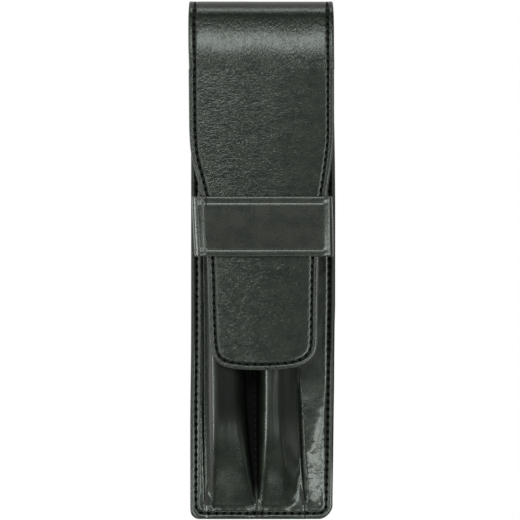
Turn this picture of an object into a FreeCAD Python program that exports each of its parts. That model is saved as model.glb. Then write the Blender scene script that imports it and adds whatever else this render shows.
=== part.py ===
"""Two-pen leather pen case, closed, lying on its back.

The case is one long strip of leather: it runs up the back, turns over the top in a soft fold and comes
down the front as a flap whose narrow tongue tucks under a fixed leather band. A pleated front pocket
makes two pen channels with a sewn valley between them. Frame: +Z points out of the front of the case,
+Y runs from the bottom seam to the top fold, +X is to the right. The origin is on the back face, half
way along the case. Millimetres.
"""
import FreeCAD, Part
import math
import os

import Sketcher

V = FreeCAD.Vector
doc = FreeCAD.newDocument("pen_case")

# ---------------------------------------------------------------- driving dimensions
sheet = doc.addObject("Spreadsheet::Sheet", "Sheet")
SIZES = [
    ("case_width", 45.4),        # across the side seams
    ("case_length", 165.0),      # bottom seam to top of the fold
    ("corner_radius", 4.5),      # bottom corners of back and pocket
    ("leather_thick", 1.2),      # outer strip
    ("lining_thick", 0.9),       # lining, full thickness at its rim
    ("board_thick", 0.4),        # stiffener board let into the lining
    ("flap_top", 17.5),          # outer face of the closed flap above the table
    ("crown_radius", 45.0),      # slow curve of the flap into the fold
    ("crown_angle", 18.0),
    ("cut_gap", 0.25),           # half the slit between rigid pieces of the strip, in degrees of fold
    ("mouth_y", 126.0),          # top edge of the pocket
    ("flange_thick", 1.0),       # pocket leather where it lies flat
    ("pocket_thick", 0.9),       # pocket leather round the channels
    ("pocket_lining", 0.3),
    ("layer_gap", 0.03),
    ("board_inset", 3.6),
    ("board_start", 6.0),
    ("band_start", 83.9),
    ("band_width", 19.0),
    ("band_leather", 1.0),
    ("band_lining", 0.5),
    ("band_left", 21.7),
    ("band_right", 22.6),
    ("band_top", 19.5),
    ("band_corner", 2.8),
    ("band_tab", 2.7),
    ("seam_margin", 1.9),
    ("pitch", 2.4),
    ("thread_radius", 0.22),
    ("stitch_length", 1.9),
    ("axis_stand_off", 0.05),    # fold axes outside the outer face
    ("fold_heading_2", 75.0),    # direction of the strip at the second and third fold axes, in degrees from flat
    ("fold_heading_3", 121.0),
    ("flap_heading", 168.0),     # and at the last one, where the flap starts
]
for row, (name, value) in enumerate(SIZES, start=1):
    sheet.set("A%d" % row, name)
    sheet.set("B%d" % row, str(value))
    sheet.setAlias("B%d" % row, name)
doc.recompute()


def cell(name):
    return float(getattr(sheet, name))


W = cell("case_width")
L = cell("case_length")
Y0 = -L / 2.0                       # bottom seam
T = cell("leather_thick")
TL = cell("lining_thick")
TB = cell("board_thick")
SKIN = T + TL                       # leather and lining together
H = cell("flap_top")
R2 = cell("crown_radius")
A2 = math.radians(cell("crown_angle"))
R1 = (H - R2 * (1 - math.cos(A2))) / (1 + math.cos(A2))   # tight part of the top fold
YB = Y0 + L - R1                    # where the back starts to curve
C1 = (YB, R1)                       # centre of the tight curve
E1A = math.pi / 2 - A2              # its last position angle, where the slow curve takes over
C2 = (C1[0] + (R1 - R2) * math.cos(E1A), C1[1] + (R1 - R2) * math.sin(E1A))
YS = C2[0]                          # where the flap becomes flat
YQ = Y0 + L

S1 = YB - Y0                        # the same places as lengths along the outer face from the bottom seam
S2 = S1 + R1 * (math.pi - A2)
S3 = S2 + R2 * A2


def on_strip(heading, d):
    """Point at depth d under the outer face where the strip has turned by this heading, in radians."""
    c, r = (C1, R1) if heading <= math.pi - A2 else (C2, R2)
    a = heading - math.pi / 2
    return c[0] + (r - d) * math.cos(a), c[1] + (r - d) * math.sin(a)


def heading_at(s):
    """How far the strip has turned, in radians, at length s along its outer face."""
    if s <= S1:
        return 0.0
    return (s - S1) / R1 if s <= S2 else (s - S2) / R2 + math.pi - A2


def length_at(heading):
    return S1 + R1 * heading if heading <= math.pi - A2 else S2 + R2 * (heading - math.pi + A2)


# Four fold axes on the outer face, one between each two of five rigid stretches of the strip. Turned together they
# lay the strip out flat: the axes end in one line, and the flap's outer face ends level with the back.
TURN_LAST = math.radians(cell("flap_heading"))
rise = R2 * (1 - math.cos(math.pi - TURN_LAST))
TURNS = [math.acos(1 - rise / R1), math.radians(cell("fold_heading_2")), math.radians(cell("fold_heading_3")), TURN_LAST]
PIVOTS = [on_strip(t, -cell("axis_stand_off")) for t in TURNS]
slopes = [math.atan2(q[1] - p[1], q[0] - p[0]) for p, q in zip(PIVOTS, PIVOTS[1:])]
OPENS = [math.degrees(b - a) for a, b in zip([0.0] + slopes, slopes + [math.pi])]
GAP = math.radians(cell("cut_gap")) * R1   # half the slit, as a length along the outer face

nodes = {}


def role(body, name):
    return [f for f in body.Origin.OriginFeatures if f.Role == name][0]


def new_body(label):
    body = doc.addObject("PartDesign::Body", label)
    body.Label = label
    return body


def new_sketch(body, name, plane, offset=0.0):
    sk = body.newObject("Sketcher::SketchObject", name)
    sk.AttachmentSupport = [(role(body, plane), "")]
    sk.MapMode = "FlatFace"
    if offset:
        sk.AttachmentOffset = FreeCAD.Placement(V(0, 0, offset), FreeCAD.Rotation())
    return sk


def ring(sk, geometry):
    """Adds a closed chain of curves, and joins each end to the next start. Items are (curve, forwards)."""
    first = sk.GeometryCount
    for curve, _ in geometry:
        sk.addGeometry(curve, False)
    n = len(geometry)
    for i in range(n):
        j = (i + 1) % n
        end = 2 if geometry[i][1] else 1
        start = 1 if geometry[j][1] else 2
        sk.addConstraint(Sketcher.Constraint("Coincident", first + i, end, first + j, start))


def line(a, b):
    return Part.LineSegment(V(a[0], a[1], 0), V(b[0], b[1], 0)), True


def arc(centre, radius, a0, a1):
    """Arc from angle a0 to a1. It is stored anticlockwise, so a clockwise one is marked as reversed."""
    circle = Part.Circle(V(centre[0], centre[1], 0), V(0, 0, 1), radius)
    if a1 > a0:
        return Part.ArcOfCircle(circle, a0, a1), True
    return Part.ArcOfCircle(circle, a1, a0), False


def at(centre, radius, a):
    return centre[0] + radius * math.cos(a), centre[1] + radius * math.sin(a)


def pad_mid(body, sk, cellname):
    pad = body.newObject("PartDesign::Pad", "Pad_" + body.Label)
    pad.Profile = sk
    if "SideType" in pad.PropertiesList:
        pad.SideType = "Symmetric"
    else:
        pad.Midplane = True
    pad.setExpression("Length", "Sheet." + cellname)
    sk.Visibility = False
    return pad


HALF_PI = math.pi / 2


def strip_back(d0, d1, y_start):
    """Profile of a layer of the back, from depth d0 to d1 under its outer face, up to the first fold axis."""
    a = TURNS[0] - GAP / R1 - HALF_PI
    return [
        line((y_start, d0), (YB, d0)),
        arc(C1, R1 - d0, -HALF_PI, a),
        line(at(C1, R1 - d0, a), at(C1, R1 - d1, a)),
        arc(C1, R1 - d1, a, -HALF_PI),
        line((YB, d1), (y_start, d1)),
        line((y_start, d1), (y_start, d0)),
    ]


def strip_fold(k, d0, d1):
    """Profile of a layer of the fold between axes k and k + 1."""
    a = TURNS[k] + GAP / R1 - HALF_PI
    if TURNS[k + 1] <= math.pi - A2:
        b = TURNS[k + 1] - GAP / R1 - HALF_PI
        return [
            arc(C1, R1 - d0, a, b),
            line(at(C1, R1 - d0, b), at(C1, R1 - d1, b)),
            arc(C1, R1 - d1, b, a),
            line(at(C1, R1 - d1, a), at(C1, R1 - d0, a)),
        ]
    b = TURNS[k + 1] - GAP / R2 - HALF_PI
    return [
        arc(C1, R1 - d0, a, E1A),
        arc(C2, R2 - d0, E1A, b),
        line(at(C2, R2 - d0, b), at(C2, R2 - d1, b)),
        arc(C2, R2 - d1, b, E1A),
        arc(C1, R1 - d1, E1A, a),
        line(at(C1, R1 - d1, a), at(C1, R1 - d0, a)),
    ]


def strip_flap(d0, d1, y_end):
    a = TURNS[3] + GAP / R2 - HALF_PI
    return [
        arc(C2, R2 - d0, a, HALF_PI),
        line((YS, H - d0), (y_end, H - d0)),
        line((y_end, H - d0), (y_end, H - d1)),
        line((y_end, H - d1), (YS, H - d1)),
        arc(C2, R2 - d1, HALF_PI, a),
        line(at(C2, R2 - d1, a), at(C2, R2 - d0, a)),
    ]


def layer(label, profile):
    body = new_body(label)
    sk = new_sketch(body, "Profile_" + label, "YZ_Plane")
    ring(sk, profile)
    pad = pad_mid(body, sk, "case_width")
    doc.recompute()
    return body, pad


def round_corners(body, base):
    names = []
    for i, e in enumerate(base.Shape.Edges, start=1):
        if len(e.Vertexes) != 2:
            continue
        p, q = e.Vertexes[0].Point, e.Vertexes[1].Point
        if abs(p.y - Y0) < 1e-4 and abs(q.y - Y0) < 1e-4 and abs(p.x - q.x) < 1e-4 and abs(abs(p.x) - W / 2) < 1e-4:
            names.append("Edge%d" % i)
    if len(names) != 2:
        raise RuntimeError("%s: found %d corner edges" % (body.Label, len(names)))
    f = body.newObject("PartDesign::Fillet", "Corners_" + body.Label)
    f.Base = (base, names)
    f.setExpression("Radius", "Sheet.corner_radius")
    doc.recompute()
    return f


def rect_sketch(body, name, plane, offset, x0, y0, x1, y1):
    sk = new_sketch(body, name, plane, offset)
    ring(sk, [line((x0, y0), (x1, y0)), line((x1, y0), (x1, y1)), line((x1, y1), (x0, y1)), line((x0, y1), (x0, y0))])
    n = sk.GeometryCount - 4
    sk.addConstraint(Sketcher.Constraint("Horizontal", n))
    sk.addConstraint(Sketcher.Constraint("Vertical", n + 1))
    sk.addConstraint(Sketcher.Constraint("Horizontal", n + 2))
    sk.addConstraint(Sketcher.Constraint("Vertical", n + 3))
    sk.addConstraint(Sketcher.Constraint("DistanceX", n, 1, n, 2, abs(x1 - x0)))
    sk.addConstraint(Sketcher.Constraint("DistanceY", n + 1, 1, n + 1, 2, abs(y1 - y0)))
    sk.addConstraint(Sketcher.Constraint("DistanceX", -1, 1, n, 1, x0))
    sk.addConstraint(Sketcher.Constraint("DistanceY", -1, 1, n, 1, y0))
    return sk


# ---------------------------------------------------------------- back: leather, board and lining
back, pad = layer("back_leather", strip_back(0.0, T, Y0))
round_corners(back, pad)
nodes["back_leather"] = back

INSET = cell("board_inset")
BX = W / 2 - INSET
BY0, BY1 = Y0 + cell("board_start"), YB - 3.0

board = new_body("back_board")
sk = rect_sketch(board, "Plan_back_board", "XY_Plane", T, -BX, BY0, BX, BY1)
p = board.newObject("PartDesign::Pad", "Pad_back_board")
p.Profile = sk
p.setExpression("Length", "Sheet.board_thick")
doc.recompute()
nodes["back_board"] = board

lining, pad = layer("back_lining", strip_back(T, SKIN, Y0))
tip = round_corners(lining, pad)
before = tip.Shape.Volume
sk = rect_sketch(lining, "Recess_back_lining", "XY_Plane", T, -BX - 0.05, BY0 - 0.05, BX + 0.05, BY1 + 0.05)
pk = lining.newObject("PartDesign::Pocket", "Seat_back_board")
pk.Profile = sk
pk.Reversed = True
pk.setExpression("Length", "Sheet.board_thick")
doc.recompute()
if before - lining.Shape.Volume < 0.8 * (2 * BX) * (BY1 - BY0) * TB:
    pk.Reversed = False
    doc.recompute()
if before - lining.Shape.Volume < 0.8 * (2 * BX) * (BY1 - BY0) * TB:
    raise RuntimeError("the seat for the back board was not cut")
nodes["back_lining"] = lining

# ---------------------------------------------------------------- top fold: leather and lining
FOLDS = ["fold_lower", "fold_middle", "fold_upper"]
for k, name in enumerate(FOLDS):
    for label, d0, d1 in ((name + "_leather", 0.0, T), (name + "_lining", T, SKIN)):
        b, _ = layer(label, strip_fold(k, d0, d1))
        nodes[label] = b

# ---------------------------------------------------------------- flap: its outline seen from the front
OUTLINE = [
    (-24.6, 130.0), (-23.35, 124.2), (-22.62, 119.8), (-22.05, 115.6), (-21.45, 112.0), (-20.75, 109.2), (-20.0, 106.2), (-19.2, 102.8),
    (-18.35, 98.0), (-17.65, 92.0), (-17.15, 86.0), (-16.85, 80.0), (-16.6, 72.0), (-16.4, 64.0), (-16.1, 57.5),
    (-15.8, 54.6), (-15.2, 52.4), (-14.1, 50.7), (-12.5, 49.5), (-10.3, 48.7), (-7.0, 48.2), (-1.2, 47.9), (5.2, 48.05),
    (9.6, 48.5), (12.7, 49.2), (14.9, 50.3), (16.5, 51.8), (17.5, 53.6), (17.95, 55.8), (18.1, 60.0), (18.2, 68.0),
    (18.35, 78.0), (18.6, 86.0), (19.0, 92.0), (19.6, 98.0), (20.35, 102.8), (21.0, 107.0), (21.6, 111.0),
    (22.05, 115.4), (22.62, 119.8), (23.35, 124.2), (24.6, 130.0),
]


def outline_curve():
    c = Part.BSplineCurve()
    pts = [V(x, Y0 + y, 0) for x, y in OUTLINE]
    c.interpolate(Points=pts)
    return c


def prism(wire, z0, z1):
    return Part.Face(wire).extrude(V(0, 0, z1 - z0)).translated(V(0, 0, z0))


def flap_prism():
    c = outline_curve()
    top = YQ + 5.0
    (xa, ya), (xb, yb) = OUTLINE[0], OUTLINE[-1]     # both ends stand clear of the strip's sides
    lines = [
        Part.LineSegment(V(xb, Y0 + yb, 0), V(xb, top, 0)).toShape(),
        Part.LineSegment(V(xb, top, 0), V(xa, top, 0)).toShape(),
        Part.LineSegment(V(xa, top, 0), V(xa, Y0 + ya, 0)).toShape(),
    ]
    return prism(Part.Wire([c.toShape()] + lines), -2.0, H + 4.0)


plan = doc.addObject("Part::Feature", "flap_plan")
plan.Shape = flap_prism()

TIP = Y0 + 40.0
for label, d0, d1 in (("flap_leather", 0.0, T), ("flap_lining", T, SKIN)):
    strip, _ = layer(label + "_strip", strip_flap(d0, d1, TIP))
    common = doc.addObject("Part::Common", label)
    common.Base = strip
    common.Tool = plan
    common.Label = label
    doc.recompute()
    nodes[label] = common

# the stiffener board in the flap sits in a seat cut from the lining, against the leather
FY0, FY1 = Y0 + 55.0, YS - 2.0


def board_outline(inset):
    """Inset copy of the flap outline, closed across the top."""
    c = outline_curve()
    n = 60
    pts = []
    for i in range(n + 1):
        u = c.FirstParameter + (c.LastParameter - c.FirstParameter) * i / n
        q, t = c.value(u), c.tangent(u)[0]
        pts.append(V(q.x - t.y * inset, q.y + t.x * inset, 0))
    pts = [q for q in pts if abs(q.x) < W / 2 - inset]
    b = Part.BSplineCurve()
    b.interpolate(Points=pts)
    first, last = pts[0], pts[-1]
    top = FY1 + (INSET - inset)
    lines = [
        Part.LineSegment(last, V(last.x, top, 0)).toShape(),
        Part.LineSegment(V(last.x, top, 0), V(first.x, top, 0)).toShape(),
        Part.LineSegment(V(first.x, top, 0), first).toShape(),
    ]
    return Part.Wire([b.toShape()] + lines)


flap_board = doc.addObject("Part::Feature", "flap_board")
flap_board.Shape = prism(board_outline(INSET), H - T - TB, H - T)
flap_board.Label = "flap_board"
nodes["flap_board"] = flap_board
seat = doc.addObject("Part::Feature", "flap_board_seat")
seat.Shape = prism(board_outline(INSET - 0.05), H - T - TB, H - T + 0.2)
cut = doc.addObject("Part::Cut", "flap_lining_cut")
cut.Base = nodes["flap_lining"]
cut.Tool = seat
nodes["flap_lining"].Label = "flap_lining_blank"
cut.Label = "flap_lining"
doc.recompute()
if nodes["flap_lining"].Shape.Volume - cut.Shape.Volume < 200:
    raise RuntimeError("the seat for the flap board was not cut")
nodes["flap_lining"] = cut

# ---------------------------------------------------------------- pocket: pleated front with two pen channels
Z0 = SKIN
MOUTH = Y0 + cell("mouth_y")
FT = cell("flange_thick")
# y above the bottom seam, left crease, right crease, height of the channel over the lining
LEFT = [
    (0.0, -17.9, -1.62, 1.9), (3.5, -17.9, -1.75, 2.15), (9.0, -17.95, -2.35, 4.0), (18.0, -18.0, -3.5, 7.4),
    (30.0, -18.1, -4.8, 10.6), (44.0, -18.2, -5.6, 12.4), (62.0, -18.4, -5.5, 13.0), (90.0, -18.7, -4.9, 13.0),
    (132.0, -18.9, -4.3, 13.0),
]
RIGHT = [
    (0.0, -1.5, 13.9, 1.9), (3.5, -1.45, 13.75, 2.15), (9.0, -1.4, 13.3, 4.0), (18.0, -1.35, 12.5, 7.4),
    (30.0, -1.3, 11.8, 10.6), (44.0, -1.25, 11.4, 12.4), (62.0, -1.2, 11.7, 13.0), (90.0, -1.1, 12.7, 13.0),
    (132.0, -0.9, 13.6, 13.0),
]


def smooth_rows(table, y_min, step):
    """Rows at even spacing along the case, from cubic curves through the table with slopes that never overshoot."""
    ys = [r[0] for r in table]
    last = ys[-1]
    n = int(round((last - y_min) / step))
    out = []
    for i in range(n + 1):
        y = y_min + (last - y_min) * i / n
        k = max(j for j in range(len(ys) - 1) if ys[j] <= y + 1e-9)
        row = [y]
        for col in (1, 2, 3):
            v = [r[col] for r in table]
            d = [(v[j + 1] - v[j]) / (ys[j + 1] - ys[j]) for j in range(len(ys) - 1)]
            m = [d[0]] + [0.0 if a * b <= 0 else 2 * a * b / (a + b) for a, b in zip(d, d[1:])] + [d[-1]]
            w = ys[k + 1] - ys[k]
            t = (y - ys[k]) / w
            row.append((2 * t ** 3 - 3 * t ** 2 + 1) * v[k] + (t ** 3 - 2 * t ** 2 + t) * w * m[k]
                       + (3 * t ** 2 - 2 * t ** 3) * v[k + 1] + (t ** 3 - t ** 2) * w * m[k + 1])
        out.append(tuple(row))
    return out


# the soft top of a channel: share of its width, share of its height, from the left crease to the right one
ARCH = [(0.0, 0.30), (0.030, 0.56), (0.085, 0.79), (0.20, 0.94), (0.36, 0.99), (0.5, 1.0), (0.64, 0.99), (0.80, 0.94),
        (0.915, 0.79), (0.970, 0.56), (1.0, 0.30)]


def section(y, xa, xb, h, inset, floor):
    """Closed outline of a channel at one station: a floor line, two short walls up to the pleat creases and a soft top."""
    xa, xb, h = xa + inset, xb - inset, h - inset
    w = xb - xa
    root = min(0.35, 0.1 * h)

    def P(u, k):
        return V(xa + u * w, Y0 + y, Z0 + k * h)

    pts = [P(u, k) for u, k in ARCH]
    arch = Part.BSplineCurve()
    arch.interpolate(Points=pts, Parameters=[i / (len(pts) - 1.0) for i in range(len(pts))])
    a, b = V(xa + root, Y0 + y, Z0 + floor), V(xb - root, Y0 + y, Z0 + floor)
    return Part.Wire([
        Part.LineSegment(a, pts[0]).toShape(),
        arch.toShape(),
        Part.LineSegment(pts[-1], b).toShape(),
        Part.LineSegment(b, a).toShape(),
    ])


def channel(table, inset, floor, y_min=0.0):
    wires = [section(y, xa, xb, h, inset, floor) for y, xa, xb, h in smooth_rows(table, y_min, 6.0)]
    s = Part.makeLoft(wires, True, False, False, 3)
    if s.Volume < 0:
        s = s.reversed()
    return s


def rounded_slab(z0, z1, y_top):
    r = cell("corner_radius")
    x = W / 2
    q = math.pi / 2
    edges = [
        Part.LineSegment(V(-x + r, Y0, 0), V(x - r, Y0, 0)).toShape(),
        Part.ArcOfCircle(Part.Circle(V(x - r, Y0 + r, 0), V(0, 0, 1), r), -q, 0).toShape(),
        Part.LineSegment(V(x, Y0 + r, 0), V(x, y_top, 0)).toShape(),
        Part.LineSegment(V(x, y_top, 0), V(-x, y_top, 0)).toShape(),
        Part.LineSegment(V(-x, y_top, 0), V(-x, Y0 + r, 0)).toShape(),
        Part.ArcOfCircle(Part.Circle(V(-x + r, Y0 + r, 0), V(0, 0, 1), r), math.pi, 1.5 * math.pi).toShape(),
    ]
    return prism(Part.Wire(edges), z0, z1)


PT, PL, LG = cell("pocket_thick"), cell("pocket_lining"), cell("layer_gap")
above = Part.makeBox(W + 10, MOUTH - Y0, 40, V(-W / 2 - 5, Y0, Z0))   # everything over the lining and below the mouth
body = rounded_slab(Z0, Z0 + FT, MOUTH)
for t in (LEFT, RIGHT):
    body = body.fuse(channel(t, 0.0, 0.0).common(above))
body = body.common(above)
for t in (LEFT, RIGHT):
    body = body.cut(channel(t, PT, -0.6, 3.5))
body = body.removeSplitter()
pocket = doc.addObject("Part::Feature", "pocket_leather")
pocket.Shape = body.Solids[0] if len(body.Solids) == 1 else body
pocket.Label = "pocket_leather"
nodes["pocket_leather"] = pocket

shells = []
for t in (LEFT, RIGHT):
    s = channel(t, PT + LG, -0.6, 3.5).common(above).cut(channel(t, PT + PL, -0.8, 3.5))
    shells += [q for q in s.Solids if q.Volume > 5]
lin = doc.addObject("Part::Feature", "channel_lining")
lin.Shape = Part.makeCompound(shells)
lin.Label = "channel_lining"
nodes["channel_lining"] = lin


def top_of_pocket(x, y):
    """Height of the pocket's outer face at a place on its bottom seam."""
    best = Z0 + FT
    for t in (LEFT, RIGHT):
        for (y0, a0, b0, h0), (y1, a1, b1, h1) in zip(t, t[1:]):
            if y0 <= y <= y1:
                k = (y - y0) / (y1 - y0)
                a, b, h = a0 + (a1 - a0) * k, b0 + (b1 - b0) * k, h0 + (h1 - h0) * k
                if a + 0.6 < x < b - 0.6:
                    w = b - a
                    u = min(x - a, b - x) / w
                    f = 0.955 + (min(u, 0.5) - 0.2) / 0.3 * 0.045 if u > 0.2 else (0.74 + (u - 0.065) / 0.135 * 0.215 if u > 0.065 else 0.3 + u / 0.065 * 0.44)
                    best = max(best, Z0 + h * f)
    return best


# ---------------------------------------------------------------- band
def band_profile(d0, d1):
    """Closed profile, seen along +Y, of a layer of the band between depths d0 and d1 under its outer face."""
    xl, xr, zt, r, tab = -cell("band_left"), cell("band_right"), cell("band_top"), cell("band_corner"), cell("band_tab")
    zb = Z0 + FT                       # the tabs lie on the pocket's flange
    rb = 1.9                           # outer radius where a tab turns in
    q = math.pi / 2

    def run(d):
        return dict(
            l_tab=(xl + tab + 0.0, zb + d), l_low=(xl + rb, zb + rb), r_low=(xr - rb, zb + rb), r_tab=(xr - tab, zb + d),
            l_top=(xl + r, zt - r), r_top=(xr - r, zt - r), rb=rb - d, r=r - d, zt=zt - d, xl=xl + d, xr=xr - d, zb=zb + d,
        )

    o, i = run(d0), run(d1)
    return [
        line(o["l_tab"], (o["l_low"][0], o["zb"])),
        arc(o["l_low"], o["rb"], -q, -2 * q),
        line((o["xl"], o["l_low"][1]), (o["xl"], o["l_top"][1])),
        arc(o["l_top"], o["r"], 2 * q, q),
        line((o["l_top"][0], o["zt"]), (o["r_top"][0], o["zt"])),
        arc(o["r_top"], o["r"], q, 0),
        line((o["xr"], o["r_top"][1]), (o["xr"], o["r_low"][1])),
        arc(o["r_low"], o["rb"], 0, -q),
        line((o["r_low"][0], o["zb"]), o["r_tab"]),
        line(o["r_tab"], i["r_tab"]),
        line(i["r_tab"], (i["r_low"][0], i["zb"])),
        arc(i["r_low"], i["rb"], -q, 0),
        line((i["xr"], i["r_low"][1]), (i["xr"], i["r_top"][1])),
        arc(i["r_top"], i["r"], 0, q),
        line((i["r_top"][0], i["zt"]), (i["l_top"][0], i["zt"])),
        arc(i["l_top"], i["r"], q, 2 * q),
        line((i["xl"], i["l_top"][1]), (i["xl"], i["l_low"][1])),
        arc(i["l_low"], i["rb"], -2 * q, -q),
        line((i["l_low"][0], i["zb"]), i["l_tab"]),
        line(i["l_tab"], o["l_tab"]),
    ]


BL, BN = cell("band_leather"), cell("band_lining")
BS = Y0 + cell("band_start")
for label, d0, d1 in (("band_leather", 0.0, BL), ("band_lining", BL, BL + BN)):
    b = new_body(label)
    # the XZ plane's normal is -Y, so the sketch sits at minus the band's far edge and is padded back
    sk = new_sketch(b, "Profile_" + label, "XZ_Plane", -(BS + cell("band_width")))
    ring(sk, band_profile(d0, d1))
    p = b.newObject("PartDesign::Pad", "Pad_" + label)
    p.Profile = sk
    p.setExpression("Length", "Sheet.band_width")
    doc.recompute()
    box = b.Shape.BoundBox
    if abs(box.YMin - BS) > 0.01:
        raise RuntimeError("%s sits at %.2f, not %.2f" % (label, box.YMin, BS))
    nodes[label] = b

# ---------------------------------------------------------------- thread, one small solid per stitch
TR, SL, PITCH, M = cell("thread_radius"), cell("stitch_length"), cell("pitch"), cell("seam_margin")


def make_stitch():
    half = SL / 2 - TR
    c = Part.makeCylinder(TR, 2 * half, V(-half, 0, 0), V(1, 0, 0))
    s = c.fuse([Part.makeSphere(TR, V(-half, 0, 0)), Part.makeSphere(TR, V(half, 0, 0))]).removeSplitter()
    return s.Solids[0]


STITCH = make_stitch()


def place(p, t, n):
    """A stitch centred on p, running along t, with n out of the leather."""
    t, n = V(*t), V(*n)
    t.normalize()
    b = n.cross(t)
    b.normalize()
    n = t.cross(b)
    m = FreeCAD.Matrix(t.x, b.x, n.x, p[0], t.y, b.y, n.y, p[1], t.z, b.z, n.z, p[2], 0, 0, 0, 1)
    s = STITCH.copy()
    s.transformShape(m, False)
    return s


def spaced(a, b, pitch=None):
    """Stitch centres along a straight stretch from a to b."""
    n = max(1, int(round((b - a) / (pitch or PITCH))))
    return [a + (b - a) * (i + 0.5) / n for i in range(n)]


def group(label, stitches):
    o = doc.addObject("Part::Feature", label)
    o.Shape = Part.makeCompound(stitches)
    o.Label = label
    nodes[label] = o


def turned(side, s0, s1, inside, sink=0.18):
    """Side stitches round the fold, between two lengths along the outer face."""
    out = []
    pitch = PITCH * 1.28 if inside else PITCH     # the inner face is shorter, so its row has fewer stitches
    for s in spaced(s0, s1, pitch):
        h = heading_at(s)
        n = (0, math.sin(h), -math.cos(h))           # out of the outer face
        y, z = on_strip(h, SKIN - sink if inside else sink)
        out.append(place((side * XS, y, z), (0, math.cos(h), math.sin(h)), (0, -n[1], -n[2]) if inside else n))
    return out


SINK = 0.12                            # depth of a stitch's middle under the face it lies on
XS = W / 2 - M                         # side seam
RC = cell("corner_radius") - M
BAND0, BAND1 = cell("band_start"), cell("band_start") + cell("band_width")

# back face: flush, so that the case rests on leather
flush = TR
rows = []
for side in (-1, 1):
    for y in spaced(Y0 + cell("corner_radius"), YB - 0.4):
        rows.append(place((side * XS, y, flush), (0, 1, 0), (0, 0, 1)))
    rows += turned(side, S1, length_at(TURNS[0]), False, 0.32)   # under the surface, so that nothing stands below the back
    cx, cy = side * (W / 2 - cell("corner_radius")), Y0 + cell("corner_radius")
    for k in (0.25, 0.75):
        a = -math.pi / 2 * (1 - k)
        rows.append(place((cx + side * RC * math.cos(a), cy + RC * math.sin(a), flush), (-math.sin(a) * side, math.cos(a), 0), (0, 0, 1)))
for x in spaced(-W / 2 + cell("corner_radius"), W / 2 - cell("corner_radius")):
    rows.append(place((x, Y0 + M, flush), (1, 0, 0), (0, 0, 1)))
group("back_seam_thread", rows)

# front of the side and bottom seams, on the pocket's flange and its doubled foot
rows, tabs = [], []
for side in (-1, 1):
    for y in spaced(Y0 + cell("corner_radius"), MOUTH - 0.6):
        yy = y - Y0
        if BAND0 - 1.2 < yy < BAND1 + 1.2:
            continue
        rows.append(place((side * XS, y, Z0 + FT - SINK), (0, 1, 0), (0, 0, 1)))
    cx, cy = side * (W / 2 - cell("corner_radius")), Y0 + cell("corner_radius")
    for k in (0.25, 0.75):
        a = -math.pi / 2 * (1 - k)
        rows.append(place((cx + side * RC * math.cos(a), cy + RC * math.sin(a), Z0 + FT - SINK), (-math.sin(a) * side, math.cos(a), 0), (0, 0, 1)))
for x in spaced(-W / 2 + cell("corner_radius"), W / 2 - cell("corner_radius")):
    rows.append(place((x, Y0 + M, top_of_pocket(x, M) - SINK), (1, 0, 0), (0, 0, 1)))
group("pocket_seam_thread", rows)

zt = Z0 + FT + BL + BN
for x in (-(cell("band_left") - 2.15), cell("band_right") - 2.15):
    for y in spaced(BS + 1.0, BS + cell("band_width") - 1.0):
        tabs.append(place((x, y, zt - SINK), (0, 1, 0), (0, 0, 1)))
group("band_thread", tabs)

# inside of the back above the mouth
rows = []
for side in (-1, 1):
    for y in spaced(MOUTH + 0.8, YB - 0.4):
        rows.append(place((side * XS, y, SKIN - SINK), (0, 1, 0), (0, 0, 1)))
    rows += turned(side, S1, length_at(TURNS[0]), True)
group("back_inner_thread", rows)

# valley between the two channels
rows = [place((-2.95, y, Z0 + FT - SINK), (0, 1, 0), (0, 0, 1)) for y in spaced(Y0 + 44.0, MOUTH - 1.0)]
rows += [place((-2.95 + (44.0 - (y - Y0)) / 34.0 * 0.95, y, Z0 + FT - SINK), (-0.03, 1, 0), (0, 0, 1)) for y in spaced(Y0 + 17.0, Y0 + 44.0)]
group("centre_seam_thread", rows)

# over the fold, outside and inside
for k, name in enumerate(FOLDS):
    rows = []
    for side in (-1, 1):
        for inside in (False, True):
            rows += turned(side, length_at(TURNS[k]), length_at(TURNS[k + 1]), inside)
    group(name + "_thread", rows)


# flap: inset copy of the outline, then straight up its sides and into the crown
def flap_seam():
    """Evenly spaced (x, y, z of the outer face, tangent, normal) round the flap."""
    c = outline_curve()
    pts = []
    n = 900
    for i in range(n + 1):
        u = c.FirstParameter + (c.LastParameter - c.FirstParameter) * i / n
        q, t = c.value(u), c.tangent(u)[0]
        if abs(q.x - t.y * M) <= XS:
            pts.append((q.x - t.y * M, q.y + t.x * M, H, (t.x, t.y, 0), (0, 0, 1)))
    left, right = [], []
    y = pts[0][1]
    while y < YS:
        left.append((-XS, y, H, (0, -1, 0), (0, 0, 1)))
        right.append((XS, y, H, (0, 1, 0), (0, 0, 1)))
        y += 0.05
    a = HALF_PI
    while a > TURNS[3] - HALF_PI:
        yy, zz = at(C2, R2, a)
        left.append((-XS, yy, zz, (0, -math.sin(a), math.cos(a)), (0, math.cos(a), math.sin(a))))
        right.append((XS, yy, zz, (0, math.sin(a), -math.cos(a)), (0, math.cos(a), math.sin(a))))
        a -= 0.05 / R2
    path = left[::-1] + pts + right
    total, s = [0.0], 0.0
    for p, q in zip(path, path[1:]):
        s += math.dist(p[:3], q[:3])
        total.append(s)
    out, k = [], 0
    for target in spaced(0.3, s - 0.3):
        while total[k] < target:
            k += 1
        out.append(path[k])
    return out


outer, inner = [], []
for x, y, z, t, n in flap_seam():
    outer.append(place((x - n[0] * SINK, y - n[1] * SINK, z - n[2] * SINK), t, n))
    k = SKIN - SINK
    inner.append(place((x - n[0] * k, y - n[1] * k, z - n[2] * k), t, (-n[0], -n[1], -n[2])))
group("flap_thread", outer)
group("flap_inner_thread", inner)

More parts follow.
